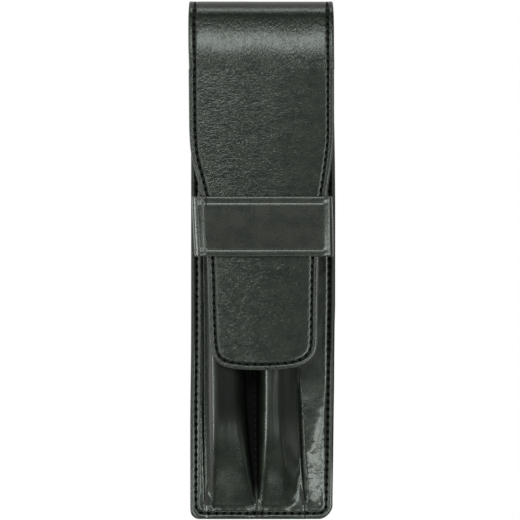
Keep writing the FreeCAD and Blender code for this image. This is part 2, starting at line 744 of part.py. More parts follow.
# ---------------------------------------------------------------- check, then write
doc.recompute()
for o in doc.Objects:
    if "Invalid" in o.State or "Error" in o.State:
        raise RuntimeError("%s failed: %s" % (o.Label, o.State))
os.makedirs("parts", exist_ok=True)
for label, o in nodes.items():
    s = o.Shape
    if s.isNull() or not s.isValid() or not s.Solids:
        raise RuntimeError("%s has no valid solid" % label)
    for q in s.Solids:
        if not q.isValid() or q.Volume <= 0:
            raise RuntimeError("%s holds a bad solid" % label)
    s.exportStep(os.path.join("parts", label + ".step"))
    b = s.BoundBox
    print("%-22s %4d solids %9.1f mm3  x %.2f..%.2f y %.2f..%.2f z %.2f..%.2f" % (
        label, len(s.Solids), sum(q.Volume for q in s.Solids), b.XMin, b.XMax, b.YMin - Y0, b.YMax - Y0, b.ZMin, b.ZMax))
for p, t, o in zip(PIVOTS, TURNS, OPENS):
    print("fold axis y %.6f z %.6f  heading %.4f  opens %.4f" % (p[0], p[1], math.degrees(t), o))
print("strip:", "R1", R1, "YB", YB - Y0, "YS", YS - Y0, "S", S1, S2, S3)
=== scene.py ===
"""Looks of the two-pen leather case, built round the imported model. Lengths are worked in millimetres and written in metres."""
import math

import bpy
import numpy as np
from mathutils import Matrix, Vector


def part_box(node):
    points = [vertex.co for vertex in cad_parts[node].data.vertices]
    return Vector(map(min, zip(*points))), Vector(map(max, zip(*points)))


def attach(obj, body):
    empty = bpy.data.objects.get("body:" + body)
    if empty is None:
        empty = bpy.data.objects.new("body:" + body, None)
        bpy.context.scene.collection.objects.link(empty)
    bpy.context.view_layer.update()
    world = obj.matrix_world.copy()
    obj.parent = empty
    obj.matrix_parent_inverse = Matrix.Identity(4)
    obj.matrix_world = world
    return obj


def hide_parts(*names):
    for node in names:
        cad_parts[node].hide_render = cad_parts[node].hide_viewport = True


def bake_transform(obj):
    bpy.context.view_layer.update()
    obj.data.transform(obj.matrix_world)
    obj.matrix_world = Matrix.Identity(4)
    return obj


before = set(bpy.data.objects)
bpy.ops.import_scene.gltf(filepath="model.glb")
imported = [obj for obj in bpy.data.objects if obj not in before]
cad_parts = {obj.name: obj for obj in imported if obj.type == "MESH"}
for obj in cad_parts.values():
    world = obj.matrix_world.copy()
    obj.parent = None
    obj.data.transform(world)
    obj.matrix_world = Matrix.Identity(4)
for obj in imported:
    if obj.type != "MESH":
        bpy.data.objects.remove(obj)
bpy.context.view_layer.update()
MM = 0.001
PI = math.pi

# ------------------------------------------------------------------ the case's own sizes, read from the frame
bl0, bl1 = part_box("back_leather")
fl0, fl1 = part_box("flap_leather")
fo0, fo1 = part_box("fold_middle_leather")
bd0, bd1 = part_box("band_leather")
pk0, pk1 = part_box("pocket_leather")
HALF = bl1.x * 1000                       # half the width
Y0 = bl0.y * 1000                         # bottom seam
YTOP = fo1.y * 1000                       # top of the fold
H = fl1.z * 1000                          # outer face of the closed flap
MOUTH = pk1.y * 1000                      # pocket's mouth
T, TL = 1.2, 0.9                          # leather, lining
SKIN = T + TL
R2, A2 = 45.0, math.radians(18.0)
R1 = (H - R2 * (1 - math.cos(A2))) / (1 + math.cos(A2))
YB = YTOP - R1
C1 = (YB, R1)
E1A = PI / 2 - A2
C2 = (C1[0] + (R1 - R2) * math.cos(E1A), C1[1] + (R1 - R2) * math.sin(E1A))
YS = C2[0]
S1 = YB - Y0
S2 = S1 + R1 * (PI - A2)
S3 = S2 + R2 * A2
LEN = YTOP - Y0
MARGIN, PITCH, RC = 1.93, 2.4, 4.5


def smooth(a, b, x):
    t = np.clip((np.asarray(x, float) - a) / (b - a), 0, 1)
    return t * t * (3 - 2 * t)


def prof(S, d):
    """(Y, Z) on the case's outer profile at path length S from the bottom seam, at depth d under the outer face."""
    S, d = np.broadcast_arrays(np.asarray(S, float), np.asarray(d, float))
    a1 = -PI / 2 + (S - S1) / R1
    a2 = E1A + (S - S2) / R2
    y = np.where(S < S1, Y0 + S, np.where(S < S2, C1[0] + (R1 - d) * np.cos(a1), np.where(S < S3, C2[0] + (R2 - d) * np.cos(a2), YS - (S - S3))))
    z = np.where(S < S1, d, np.where(S < S2, C1[1] + (R1 - d) * np.sin(a1), np.where(S < S3, C2[1] + (R2 - d) * np.sin(a2), H - d)))
    return y, z


def prof_frame(S):
    """Unit vectors along the path and out of the outer face, as (y, z) pairs."""
    S = np.asarray(S, float)
    a = np.where(S < S1, -PI / 2, np.where(S < S2, -PI / 2 + (S - S1) / R1, np.where(S < S3, E1A + (S - S2) / R2, PI / 2)))
    return np.stack([-np.sin(a), np.cos(a)], -1), np.stack([np.cos(a), np.sin(a)], -1)


# ------------------------------------------------------------------ small tools
def spline(pts, per=24):
    """Dense polyline of the natural cubic through the points, by chord length."""
    p = np.array(pts, float)
    t = np.concatenate([[0], np.cumsum(np.linalg.norm(np.diff(p, axis=0), axis=1))])
    n = len(p)
    h = np.diff(t)
    A, B = np.zeros((n, n)), np.zeros((n, p.shape[1]))
    A[0, 0] = A[-1, -1] = 1
    for i in range(1, n - 1):
        A[i, i - 1], A[i, i], A[i, i + 1] = h[i - 1], 2 * (h[i - 1] + h[i]), h[i]
        B[i] = 6 * ((p[i + 1] - p[i]) / h[i] - (p[i] - p[i - 1]) / h[i - 1])
    m = np.linalg.solve(A, B)
    out = []
    for i in range(n - 1):
        u = np.linspace(0, 1, per, endpoint=False)[:, None] * h[i]
        w = h[i]
        out.append(m[i] * (w - u) ** 3 / (6 * w) + m[i + 1] * u ** 3 / (6 * w) + (p[i] / w - m[i] * w / 6) * (w - u) + (p[i + 1] / w - m[i + 1] * w / 6) * u)
    out.append(p[-1:])
    return np.vstack(out)


def arclen(p):
    return np.concatenate([[0], np.cumsum(np.linalg.norm(np.diff(p, axis=0), axis=1))])


def resample(p, n):
    """n + 1 points at even spacing along the polyline."""
    s = arclen(p)
    q = np.linspace(0, s[-1], n + 1)
    return np.stack([np.interp(q, s, p[:, k]) for k in range(p.shape[1])], 1)


def along(p, values):
    s = arclen(p)
    return np.stack([np.interp(values, s, p[:, k]) for k in range(p.shape[1])], 1)


def value_noise(x, y, seed, scale):
    """Smooth two-dimensional noise from -1 to 1, the same on every run."""
    x, y = np.asarray(x, float) / scale, np.asarray(y, float) / scale
    xi, yi = np.floor(x).astype(np.int64), np.floor(y).astype(np.int64)
    fx, fy = x - xi, y - yi
    fx, fy = fx * fx * fx * (fx * (fx * 6 - 15) + 10), fy * fy * fy * (fy * (fy * 6 - 15) + 10)

    def h(i, j):
        n = (i * 374761393 + j * 668265263 + seed * 974634777) & 0xFFFFFFFF
        n = ((n ^ (n >> 13)) * 1274126177) & 0xFFFFFFFF
        n = n ^ (n >> 16)
        return (n & 0xFFFF) / 32767.5 - 1

    a = h(xi, yi) * (1 - fx) + h(xi + 1, yi) * fx
    b = h(xi, yi + 1) * (1 - fx) + h(xi + 1, yi + 1) * fx
    return a * (1 - fy) + b * fy


# The real outline is not dead straight: how far each long edge stands out from it, at heights above the bottom seam.
EDGES_CASE = np.array([(0, 0.28, -0.17), (6, 0.28, -0.17), (11, 0.28, -0.10), (21, 0.28, 0.05), (31, 0.28, 0.17), (42, 0.18, 0.33), (52, 0.05, 0.40),
                       (62, 0.0, 0.50), (68, 0.0, 0.66), (100, 0.0, 0.68), (114, 0.0, 0.58), (126, 0.08, 0.40), (140, 0.30, 0.22), (150, 0.64, 0.08), (165, 0.77, 0.08)], float)
EDGES_TOP = np.array([(0, 0.0, 0.0), (108, 0.0, 0.0), (120, 0.28, 0.08), (126, 0.40, 0.10), (150, 0.64, 0.08), (165, 0.77, 0.08)], float)


def draw_out(verts, edges):
    """Moves the outer part of a piece with its long edges."""
    v = np.array(verts, float)
    y = v[:, 1] - Y0
    out = np.where(v[:, 0] < 0, -np.interp(y, edges[:, 0], edges[:, 1]), np.interp(y, edges[:, 0], edges[:, 2]))
    v[:, 0] += out * smooth(13.0, 20.0, np.abs(v[:, 0]))
    if edges is EDGES_TOP:
        v[:, 0] -= 0.50 * (1 - smooth(84.0, 100.0, y))          # the tongue lies a little to the left
    if edges is EDGES_CASE:
        # the left bottom corner is cut a little fuller than a quarter circle, the right one a little rounder
        p = np.clip((np.abs(v[:, 0]) - (HALF - RC)) / RC, 0, 1)
        q_ = np.clip((RC - y) / RC, 0, 1)
        d = np.where(v[:, 0] < 0, 0.62, -0.16) * np.clip(2 * p * q_, 0, 1) ** 2
        v[:, 0] += np.sign(v[:, 0]) * d * 0.707
        v[:, 1] -= d * 0.707
    return v


def make_mesh(name, verts, faces, mats, face_mat=None, uv=None, seam=None):
    """A smooth-shaded object from vertices in millimetres. uv holds a stable (mm) coordinate per vertex for the materials."""
    me = bpy.data.meshes.new(name)
    shaped = draw_out(verts, EDGES_TOP if name.startswith("flap") else EDGES_CASE) if not name.startswith("band") else np.asarray(verts, float)
    me.from_pydata((shaped * MM).tolist(), [], faces)
    for m in mats:
        me.materials.append(m)
    if face_mat is not None:
        me.polygons.foreach_set("material_index", np.asarray(face_mat, np.int32))
    me.polygons.foreach_set("use_smooth", np.ones(len(me.polygons), bool))
    at = me.attributes.new("rest_mm", "FLOAT_VECTOR", "POINT")
    co = np.asarray(verts if uv is None else uv, np.float32)
    at.data.foreach_set("vector", co.ravel())
    if seam is not None:
        at = me.attributes.new("seam", "FLOAT", "POINT")
        at.data.foreach_set("value", np.asarray(seam, np.float32))
    me.update()
    ob = bpy.data.objects.new(name, me)
    bpy.context.scene.collection.objects.link(ob)
    return ob


def sharp_edges(ob, pairs):
    """Marks edges between these vertex pairs as sharp."""
    me = ob.data
    want = {tuple(sorted(p)) for p in pairs}
    at = me.attributes.get("sharp_edge") or me.attributes.new("sharp_edge", "BOOLEAN", "EDGE")
    ev = np.zeros(len(me.edges) * 2, np.int32)
    me.edges.foreach_get("vertices", ev)
    ev = np.sort(ev.reshape(-1, 2), axis=1)
    flags = np.zeros(len(me.edges), bool)
    for i, (a, b) in enumerate(ev.tolist()):
        if (a, b) in want:
            flags[i] = True
    at.data.foreach_set("value", flags)


# ------------------------------------------------------------------ the flap's outline, as (x, path length)
OUTLINE = [
    (-22.7, 124.0), (-22.55, 119.3), (-22.1, 115.2), (-21.45, 112.0), (-20.75, 109.2), (-20.0, 106.2), (-19.2, 102.8),
    (-18.35, 98.0), (-17.65, 92.0), (-17.15, 86.0), (-16.85, 80.0), (-16.6, 72.0), (-16.4, 64.0), (-16.1, 57.5),
    (-15.8, 54.6), (-15.2, 52.4), (-14.1, 50.7), (-12.5, 49.5), (-10.3, 48.7), (-7.0, 48.2), (-1.2, 47.9), (5.2, 48.05),
    (9.6, 48.5), (12.7, 49.2), (14.9, 50.3), (16.5, 51.8), (17.5, 53.6), (17.95, 55.8), (18.1, 60.0), (18.2, 68.0),
    (18.35, 78.0), (18.6, 86.0), (19.0, 92.0), (19.6, 98.0), (20.35, 102.8), (21.0, 107.0), (21.6, 111.0),
    (22.1, 115.2), (22.55, 119.5), (22.7, 124.0),
]


def edge_x(S):
    """Half the strip's width on its straight stretch: the stitched edges draw in a little where it turns over."""
    return HALF - 0.25 * np.exp(-((np.asarray(S, float) - (S1 + R1 * PI / 2 + 2.0)) / 6.0) ** 2)


SPAN0 = S1 - 4.4                            # the strip follows the case up to here
N_SPAN = int(round((S3 + 3.0 - SPAN0) / PITCH))
P_SPAN = PITCH
SPAN1 = SPAN0 + N_SPAN * P_SPAN             # and the flap from here on
# the fold in between is four stretches, each listed with the two neighbouring bodies it lies between; where each
# starts, and where its bend starts and ends as (y, z)
BENDS = [
    (SPAN0, ("case", "fold_lower"), (76.141, -0.767), (79.963, 3.948)),
    (164.2756, ("fold_lower", "fold_middle"), (79.651, 4.613), (81.222, 8.408)),
    (170.5702, ("fold_middle", "fold_upper"), (81.701, 8.827), (80.006, 14.363)),
    (178.8791, ("fold_upper", "flap"), (76.625, 15.458), (68.687, 14.256)),
]


# ------------------------------------------------------------------ surface relief shared by every seam
def relief(d, hole, amount=1.0):
    """Height of the leather at distance d in from its edge, with hole = distance to the nearest stitch hole."""
    d = np.asarray(d, float)
    lip = 0.15 * np.exp(-((d - 0.95) / 0.55) ** 2)
    groove = -0.24 * np.exp(-((d - MARGIN) / 0.32) ** 2)
    puff = 0.07 * smooth(MARGIN + 0.1, MARGIN + 1.2, d)
    dimple = -0.30 * np.exp(-(hole / 0.38) ** 2)
    tug = -0.07 * np.exp(-(hole / 0.9) ** 2) * np.exp(-((d - MARGIN) / 1.1) ** 2)
    return amount * (lip + groove + puff + dimple + tug)


def seam_dark(d, hole):
    """How far the wax and shadow of a seam darken the leather: 1 in a stitch hole, less along the groove."""
    return np.clip(0.62 * np.exp(-((np.asarray(d, float) - MARGIN) / 0.34) ** 4) + 1.0 * np.exp(-(hole / 0.52) ** 4), 0, 1)


def nearest(x, s, hx, hs):
    """Distance in the plane to the nearest of the holes."""
    x, s = np.asarray(x, float), np.asarray(s, float)
    out = np.full(x.shape, 9.0)
    flat_x, flat_s, flat_o = x.ravel(), s.ravel(), out.ravel()
    for i in range(0, flat_x.size, 4000):
        a, b = flat_x[i:i + 4000, None], flat_s[i:i + 4000, None]
        flat_o[i:i + 4000] = np.sqrt(((a - hx[None]) ** 2 + (b - hs[None]) ** 2).min(1))
    return flat_o.reshape(x.shape)


def wave(x, S):
    """Slow unevenness of the outer strip, in mm."""
    front = smooth(S3 - 12, S3 + 4, S)
    w = 0.05 * value_noise(x, S, 3, 16.0) + 0.02 * value_noise(x, S, 5, 6.0)
    # the flap lies on two round pens, so it rises a little over each and dips between them
    pens = 0.16 * (np.exp(-((x + 9.5) / 6.0) ** 2) + np.exp(-((x - 8.0) / 6.0) ** 2)) - 0.10 * np.exp(-((x + 1.0) / 4.0) ** 2)
    return (w + pens * front - 0.12 * front) * smooth(0.0, 5.0, HALF - np.abs(x))


TOP_RINGS = [(0.0, 0.46), (0.03, 0.30), (0.10, 0.15), (0.21, 0.05), (0.36, 0.0), (0.55, 0.0), (0.78, 0.0), (1.02, 0.0), (1.26, 0.0),
             (1.47, 0.0), (1.63, 0.0), (1.78, 0.0), (1.93, 0.0), (2.08, 0.0), (2.23, 0.0), (2.42, 0.0), (2.75, 0.0), (3.15, 0.0), (3.6, 0.0)]
IN = 3.6
LEATHER = dict(top=TOP_RINGS, wall=[(0.0, 0.75), (0.0, 1.0)], under=[(0.03, 1.13), (0.12, T), (IN, T)], face="top")
LINING = dict(top=[(0.14, T + 0.02), (IN, T + 0.02)][::1], wall=[(0.02, T + 0.10), (0.0, T + 0.3), (0.0, T + 0.55)],
              under=[(r, SKIN - b * 0.62) for r, b in TOP_RINGS], face="under")


def u_piece(name, layer, outline, holes, mats, step=0.4, flip=False, mat_of=(0, 1, 2)):
    """A layer of the strip with one shaped end. outline is a dense (x, S) line from the cut, round the end and back to the cut."""
    t = np.gradient(outline, axis=0)
    t /= np.linalg.norm(t, axis=1)[:, None]
    nrm = np.stack([-t[:, 1], t[:, 0]], 1)
    centre = outline.mean(0)
    if ((centre - outline) * nrm).sum() < 0:
        nrm = -nrm
    nrm[0] = nrm[-1] = (0, 0)
    nrm[0, 0], nrm[-1, 0] = -np.sign(outline[0, 0]), -np.sign(outline[-1, 0])
    inset = outline + nrm * IN
    slope = np.abs(t[:, 0]) - np.abs(t[:, 1])
    turn = np.where(slope > 0)[0]
    a, b = turn[0], turn[-1]
    data = np.hstack([inset, nrm])
    left, end, right = data[:a + 1], data[a:b + 1], data[b:]

    def even(length):
        return 2 * max(1, int(round(length / step / 2)))

    ns = even(arclen(left[:, :2])[-1])
    ne = even(arclen(end[:, :2])[-1])

    def cut(line, n):
        s = arclen(line[:, :2])
        q = np.linspace(0, s[-1], n + 1)
        return np.stack([np.interp(q, s, line[:, k]) for k in range(4)], 1)

    L, E, R = cut(left, ns), cut(end, ne), cut(right, ns)
    ring = np.vstack([L, E[1:], R[1:]])
    base, nn = ring[:, :2], ring[:, 2:]
    nn = nn / np.linalg.norm(nn, axis=1)[:, None]
    P = len(base)
    # interior, every second point of the inset line, filled by a Coons patch
    gi, gj = ns // 2, ne // 2
    Lc, Rc, Ec = L[::2, :2], R[::-1][::2, :2], E[::2, :2]
    Tc = np.linspace(Lc[0], Rc[0], gj + 1)
    v, u = np.linspace(0, 1, gi + 1)[:, None, None], np.linspace(0, 1, gj + 1)[None, :, None]
    G = ((1 - v) * Tc[None] + v * Ec[None] + (1 - u) * Lc[:, None] + u * Rc[:, None]
         - ((1 - u) * (1 - v) * Lc[0] + u * (1 - v) * Rc[0] + (1 - u) * v * Ec[0] + u * v * Ec[-1]))
    hx, hs = holes
    verts, uv, faces, fmat, dark = [], [], [], [], []

    def add(points, depth, shown, d=None):
        """Adds points at a depth, with the seam relief where the face is shown. Returns their first index."""
        x, S = points[:, 0], points[:, 1]
        first = len(verts)
        dark.extend(seam_dark(d, nearest(x, S, hx, hs)).tolist() if shown and d is not None else [0.0] * len(x))
        if shown:
            h = relief(d, nearest(x, S, hx, hs)) if d is not None else relief(IN, 9.0)
            k = smooth(0.0, 0.35, d) if d is not None else 1.0
            h = h * k
            if layer["face"] == "top":
                depth = depth - h - wave(x, S)
            else:
                depth = depth + h * 0.7 - wave(x, S)
        else:
            depth = depth - wave(x, S)
        y, z = prof(S, depth)
        for p in zip(x, y, z):
            verts.append(p)
        for q in zip(x, S, np.full(len(x), 0.0) + depth):
            uv.append(q)
        return first

    def rings(table, shown):
        return [add(base - nn * (IN - d), b, shown, np.full(P, d)) for d, b in table]

    top = rings(layer["top"], layer["face"] == "top")
    wall = rings(layer["wall"], False)
    under = rings(layer["under"], layer["face"] == "under")

    def strip(loops, rev, m):
        for p0, p1 in zip(loops, loops[1:]):
            for p in range(P - 1):
                f = (p0 + p, p0 + p + 1, p1 + p + 1, p1 + p)
                faces.append(f[::-1] if rev else f)
                fmat.append(m)

    def interior(ring0, shown, m, rev):
        ids = -np.ones((gi + 1, gj + 1), int)
        inner = G[:gi, 1:gj].reshape(-1, 2)
        depth = layer["top"][-1][1] if not rev else layer["under"][-1][1]
        first = add(inner, depth, shown)
        ids[:gi, 1:gj] = first + np.arange(len(inner)).reshape(gi, gj - 1)
        for i in range(gi + 1):
            ids[i, 0] = ring0 + 2 * i
            ids[i, gj] = ring0 + P - 1 - 2 * i
        for j in range(gj + 1):
            ids[gi, j] = ring0 + ns + 2 * j
        for i in range(gi):
            for j in range(gj):
                f = [ids[i, j]]
                if j == 0:
                    f.append(ring0 + 2 * i + 1)
                f.append(ids[i + 1, j])
                if i == gi - 1:
                    f.append(ring0 + ns + 2 * j + 1)
                f.append(ids[i + 1, j + 1])
                if j == gj - 1:
                    f.append(ring0 + P - 1 - 2 * i - 1)
                f.append(ids[i, j + 1])
                faces.append(f[::-1] if rev else f)
                fmat.append(m)
        return list(ids[0])

    if layer["face"] == "top":
        m_top, m_wall, m_under = mat_of
    else:
        m_top, m_wall, m_under = mat_of
    strip(top, False, m_top)
    top_row = interior(top[-1], layer["face"] == "top", m_top, False)
    strip([top[0]] + wall + [under[0]], True, m_wall)
    strip(under, True, m_under)
    low_row = interior(under[-1], layer["face"] == "under", m_under, True)
    # close the cut end
    cap = [r for r in top] + [int(i) for i in top_row[1:-1]] + [r + P - 1 for r in top[::-1]]
    cap += [w + P - 1 for w in wall] + [r + P - 1 for r in under] + [int(i) for i in low_row[1:-1]][::-1] + [r for r in under[::-1]] + [w for w in wall[::-1]]
    faces.append(cap[::-1])
    fmat.append(m_under)
    if flip:
        faces = [f[::-1] for f in faces]
    ob = make_mesh(name, verts, faces, mats, fmat, uv=uv, seam=dark)
    sharp_edges(ob, list(zip(cap, cap[1:] + cap[:1])))
    return ob


def straight_piece(name, layer, Sa, Sb, holes, mats, mat_of=(0, 1, 2), step=0.4, columns=48):
    """A layer of the strip between two cuts."""
    n = max(2, int(round((Sb - Sa) / step)))
    rows = np.concatenate([[Sa, Sa + 0.02], np.linspace(Sa, Sb, n + 1)[1:-1], [Sb - 0.02, Sb]])
    hx, hs = holes
    loop = []                                 # (side, distance in or share across, depth, shown, material of the face that follows)
    top, wall, under = layer["top"], layer["wall"], layer["under"]
    st, su = layer["face"] == "top", layer["face"] == "under"
    for d, b in top:
        loop.append((-1, d, b, st, mat_of[0]))
    for k in range(1, columns):
        loop.append((0, k / columns, top[-1][1], st, mat_of[0]))
    for d, b in top[::-1]:
        loop.append((1, d, b, st, mat_of[0]))
    loop[-1] = loop[-1][:4] + (mat_of[1],)
    for d, b in wall:
        loop.append((1, d, b, False, mat_of[1]))
    for d, b in under:
        loop.append((1, d, b, su, mat_of[2]))
    for k in range(columns - 1, 0, -1):
        loop.append((0, k / columns, under[-1][1], su, mat_of[2]))
    for d, b in under[::-1]:
        loop.append((-1, d, b, su, mat_of[2]))
    loop[-1] = loop[-1][:4] + (mat_of[1],)
    for d, b in wall[::-1]:
        loop.append((-1, d, b, False, mat_of[1]))
    verts, uv, faces, fmat = [], [], [], []
    m = len(loop)
    W = edge_x(rows)
    cols_x, cols_d, cols_h = [], [], []
    V = np.zeros((len(rows), m, 3))
    U = np.zeros((len(rows), m, 3))
    K = np.zeros((len(rows), m))
    for j, (side, d, b, shown, _) in enumerate(loop):
        if side:
            x = side * (W - d)
            dist = np.full(len(rows), d)
        else:
            x = -(W - IN) + 2 * (W - IN) * d
            dist = np.full(len(rows), IN)
        depth = np.full(len(rows), b) - wave(x, rows)
        if shown:
            K[:, j] = seam_dark(dist, nearest(x, rows, hx, hs)) if side else 0.0
            h = relief(dist, nearest(x, rows, hx, hs) if side else 9.0) * smooth(0.0, 0.35, dist)
            depth = depth - h if st else depth + 0.7 * h
        y, z = prof(rows, depth)
        V[:, j] = np.stack([x, y, z], 1)
        U[:, j] = np.stack([x, rows, depth], 1)
    idx = np.arange(len(rows) * m).reshape(len(rows), m)
    for i in range(len(rows) - 1):
        for j in range(m):
            k = (j + 1) % m
            faces.append((idx[i, j], idx[i + 1, j], idx[i + 1, k], idx[i, k]))
            fmat.append(loop[j][4])
    c0, c1 = idx[0].tolist(), idx[-1].tolist()
    faces.append(c0)
    faces.append(c1[::-1])
    fmat += [mat_of[2]] * 2
    ob = make_mesh(name, V.reshape(-1, 3), [tuple(int(i) for i in f) for f in faces], mats, fmat, uv=U.reshape(-1, 3), seam=K.ravel())
    sharp_edges(ob, list(zip(c0, c0[1:] + c0[:1])) + list(zip(c1, c1[1:] + c1[:1])))
    return ob


# ------------------------------------------------------------------ thread
def thread_mesh(name, stitches, mat, length=1.95, radius=0.215):
    """Twisted two-ply stitches that dive into the leather at both ends. stitches holds (centre, tangent, normal)."""
    na, nr = 15, 9
    a = np.linspace(-1, 1, na)
    r = np.linspace(0, 2 * PI, nr, endpoint=False)
    sx = a * length / 2
    sz = -0.06 - 0.50 * np.abs(a) ** 3.5
    verts, faces = [], []
    for k, (c, t, n) in enumerate(stitches):
        c, t, n = np.array(c, float), np.array(t, float), np.array(n, float)
        t = t / np.linalg.norm(t)
        b = np.cross(n, t)
        b /= np.linalg.norm(b)
        n = np.cross(t, b)
        lean = math.radians(7.0)
        t2, b2 = t * math.cos(lean) + b * math.sin(lean), b * math.cos(lean) - t * math.sin(lean)
        first = len(verts)
        for i in range(na):
            twist = 2.6 * PI * a[i] / 2 + k * 0.7
            rad = radius * (1 + 0.13 * np.cos(2 * (r - twist))) * (1 - 0.18 * abs(a[i]) ** 3)
            centre = c + t2 * sx[i] + n * sz[i]
            ring = centre + np.outer(np.cos(r) * rad, b2) * 1.0 + np.outer(np.sin(r) * rad * 0.86, n)
            verts.extend(ring.tolist())
        for i in range(na - 1):
            for j in range(nr):
                j2 = (j + 1) % nr
                faces.append((first + i * nr + j, first + i * nr + j2, first + (i + 1) * nr + j2, first + (i + 1) * nr + j))
        faces.append(tuple(first + j for j in range(nr))[::-1])
        faces.append(tuple(first + (na - 1) * nr + j for j in range(nr)))
    return make_mesh(name, verts, faces, [mat])


def strip_stitch(x, S, tx, tS, depth, inside=False):
    """A stitch on the strip at (x, S) running along (tx, tS)."""
    y, z = prof(S, depth)
    along_, out = prof_frame(S)
    t = (tx, tS * along_[0], tS * along_[1])
    n = (0.0, out[0], out[1])
    if inside:
        n = (0.0, -out[0], -out[1])
    return (x, float(y), float(z)), t, n


# ------------------------------------------------------------------ materials
def nodes_of(name):
    m = bpy.data.materials.new(name)
    m.use_nodes = True
    nt = m.node_tree
    nt.nodes.clear()
    out = nt.nodes.new("ShaderNodeOutputMaterial")
    b = nt.nodes.new("ShaderNodeBsdfPrincipled")
    nt.links.new(b.outputs[0], out.inputs[0])
    return m, nt, b


def node(nt, kind, **inputs):
    n = nt.nodes.new(kind)
    for k, v in inputs.items():
        if k in n.inputs:
            n.inputs[k].default_value = v
        else:
            setattr(n, k, v)
    return n


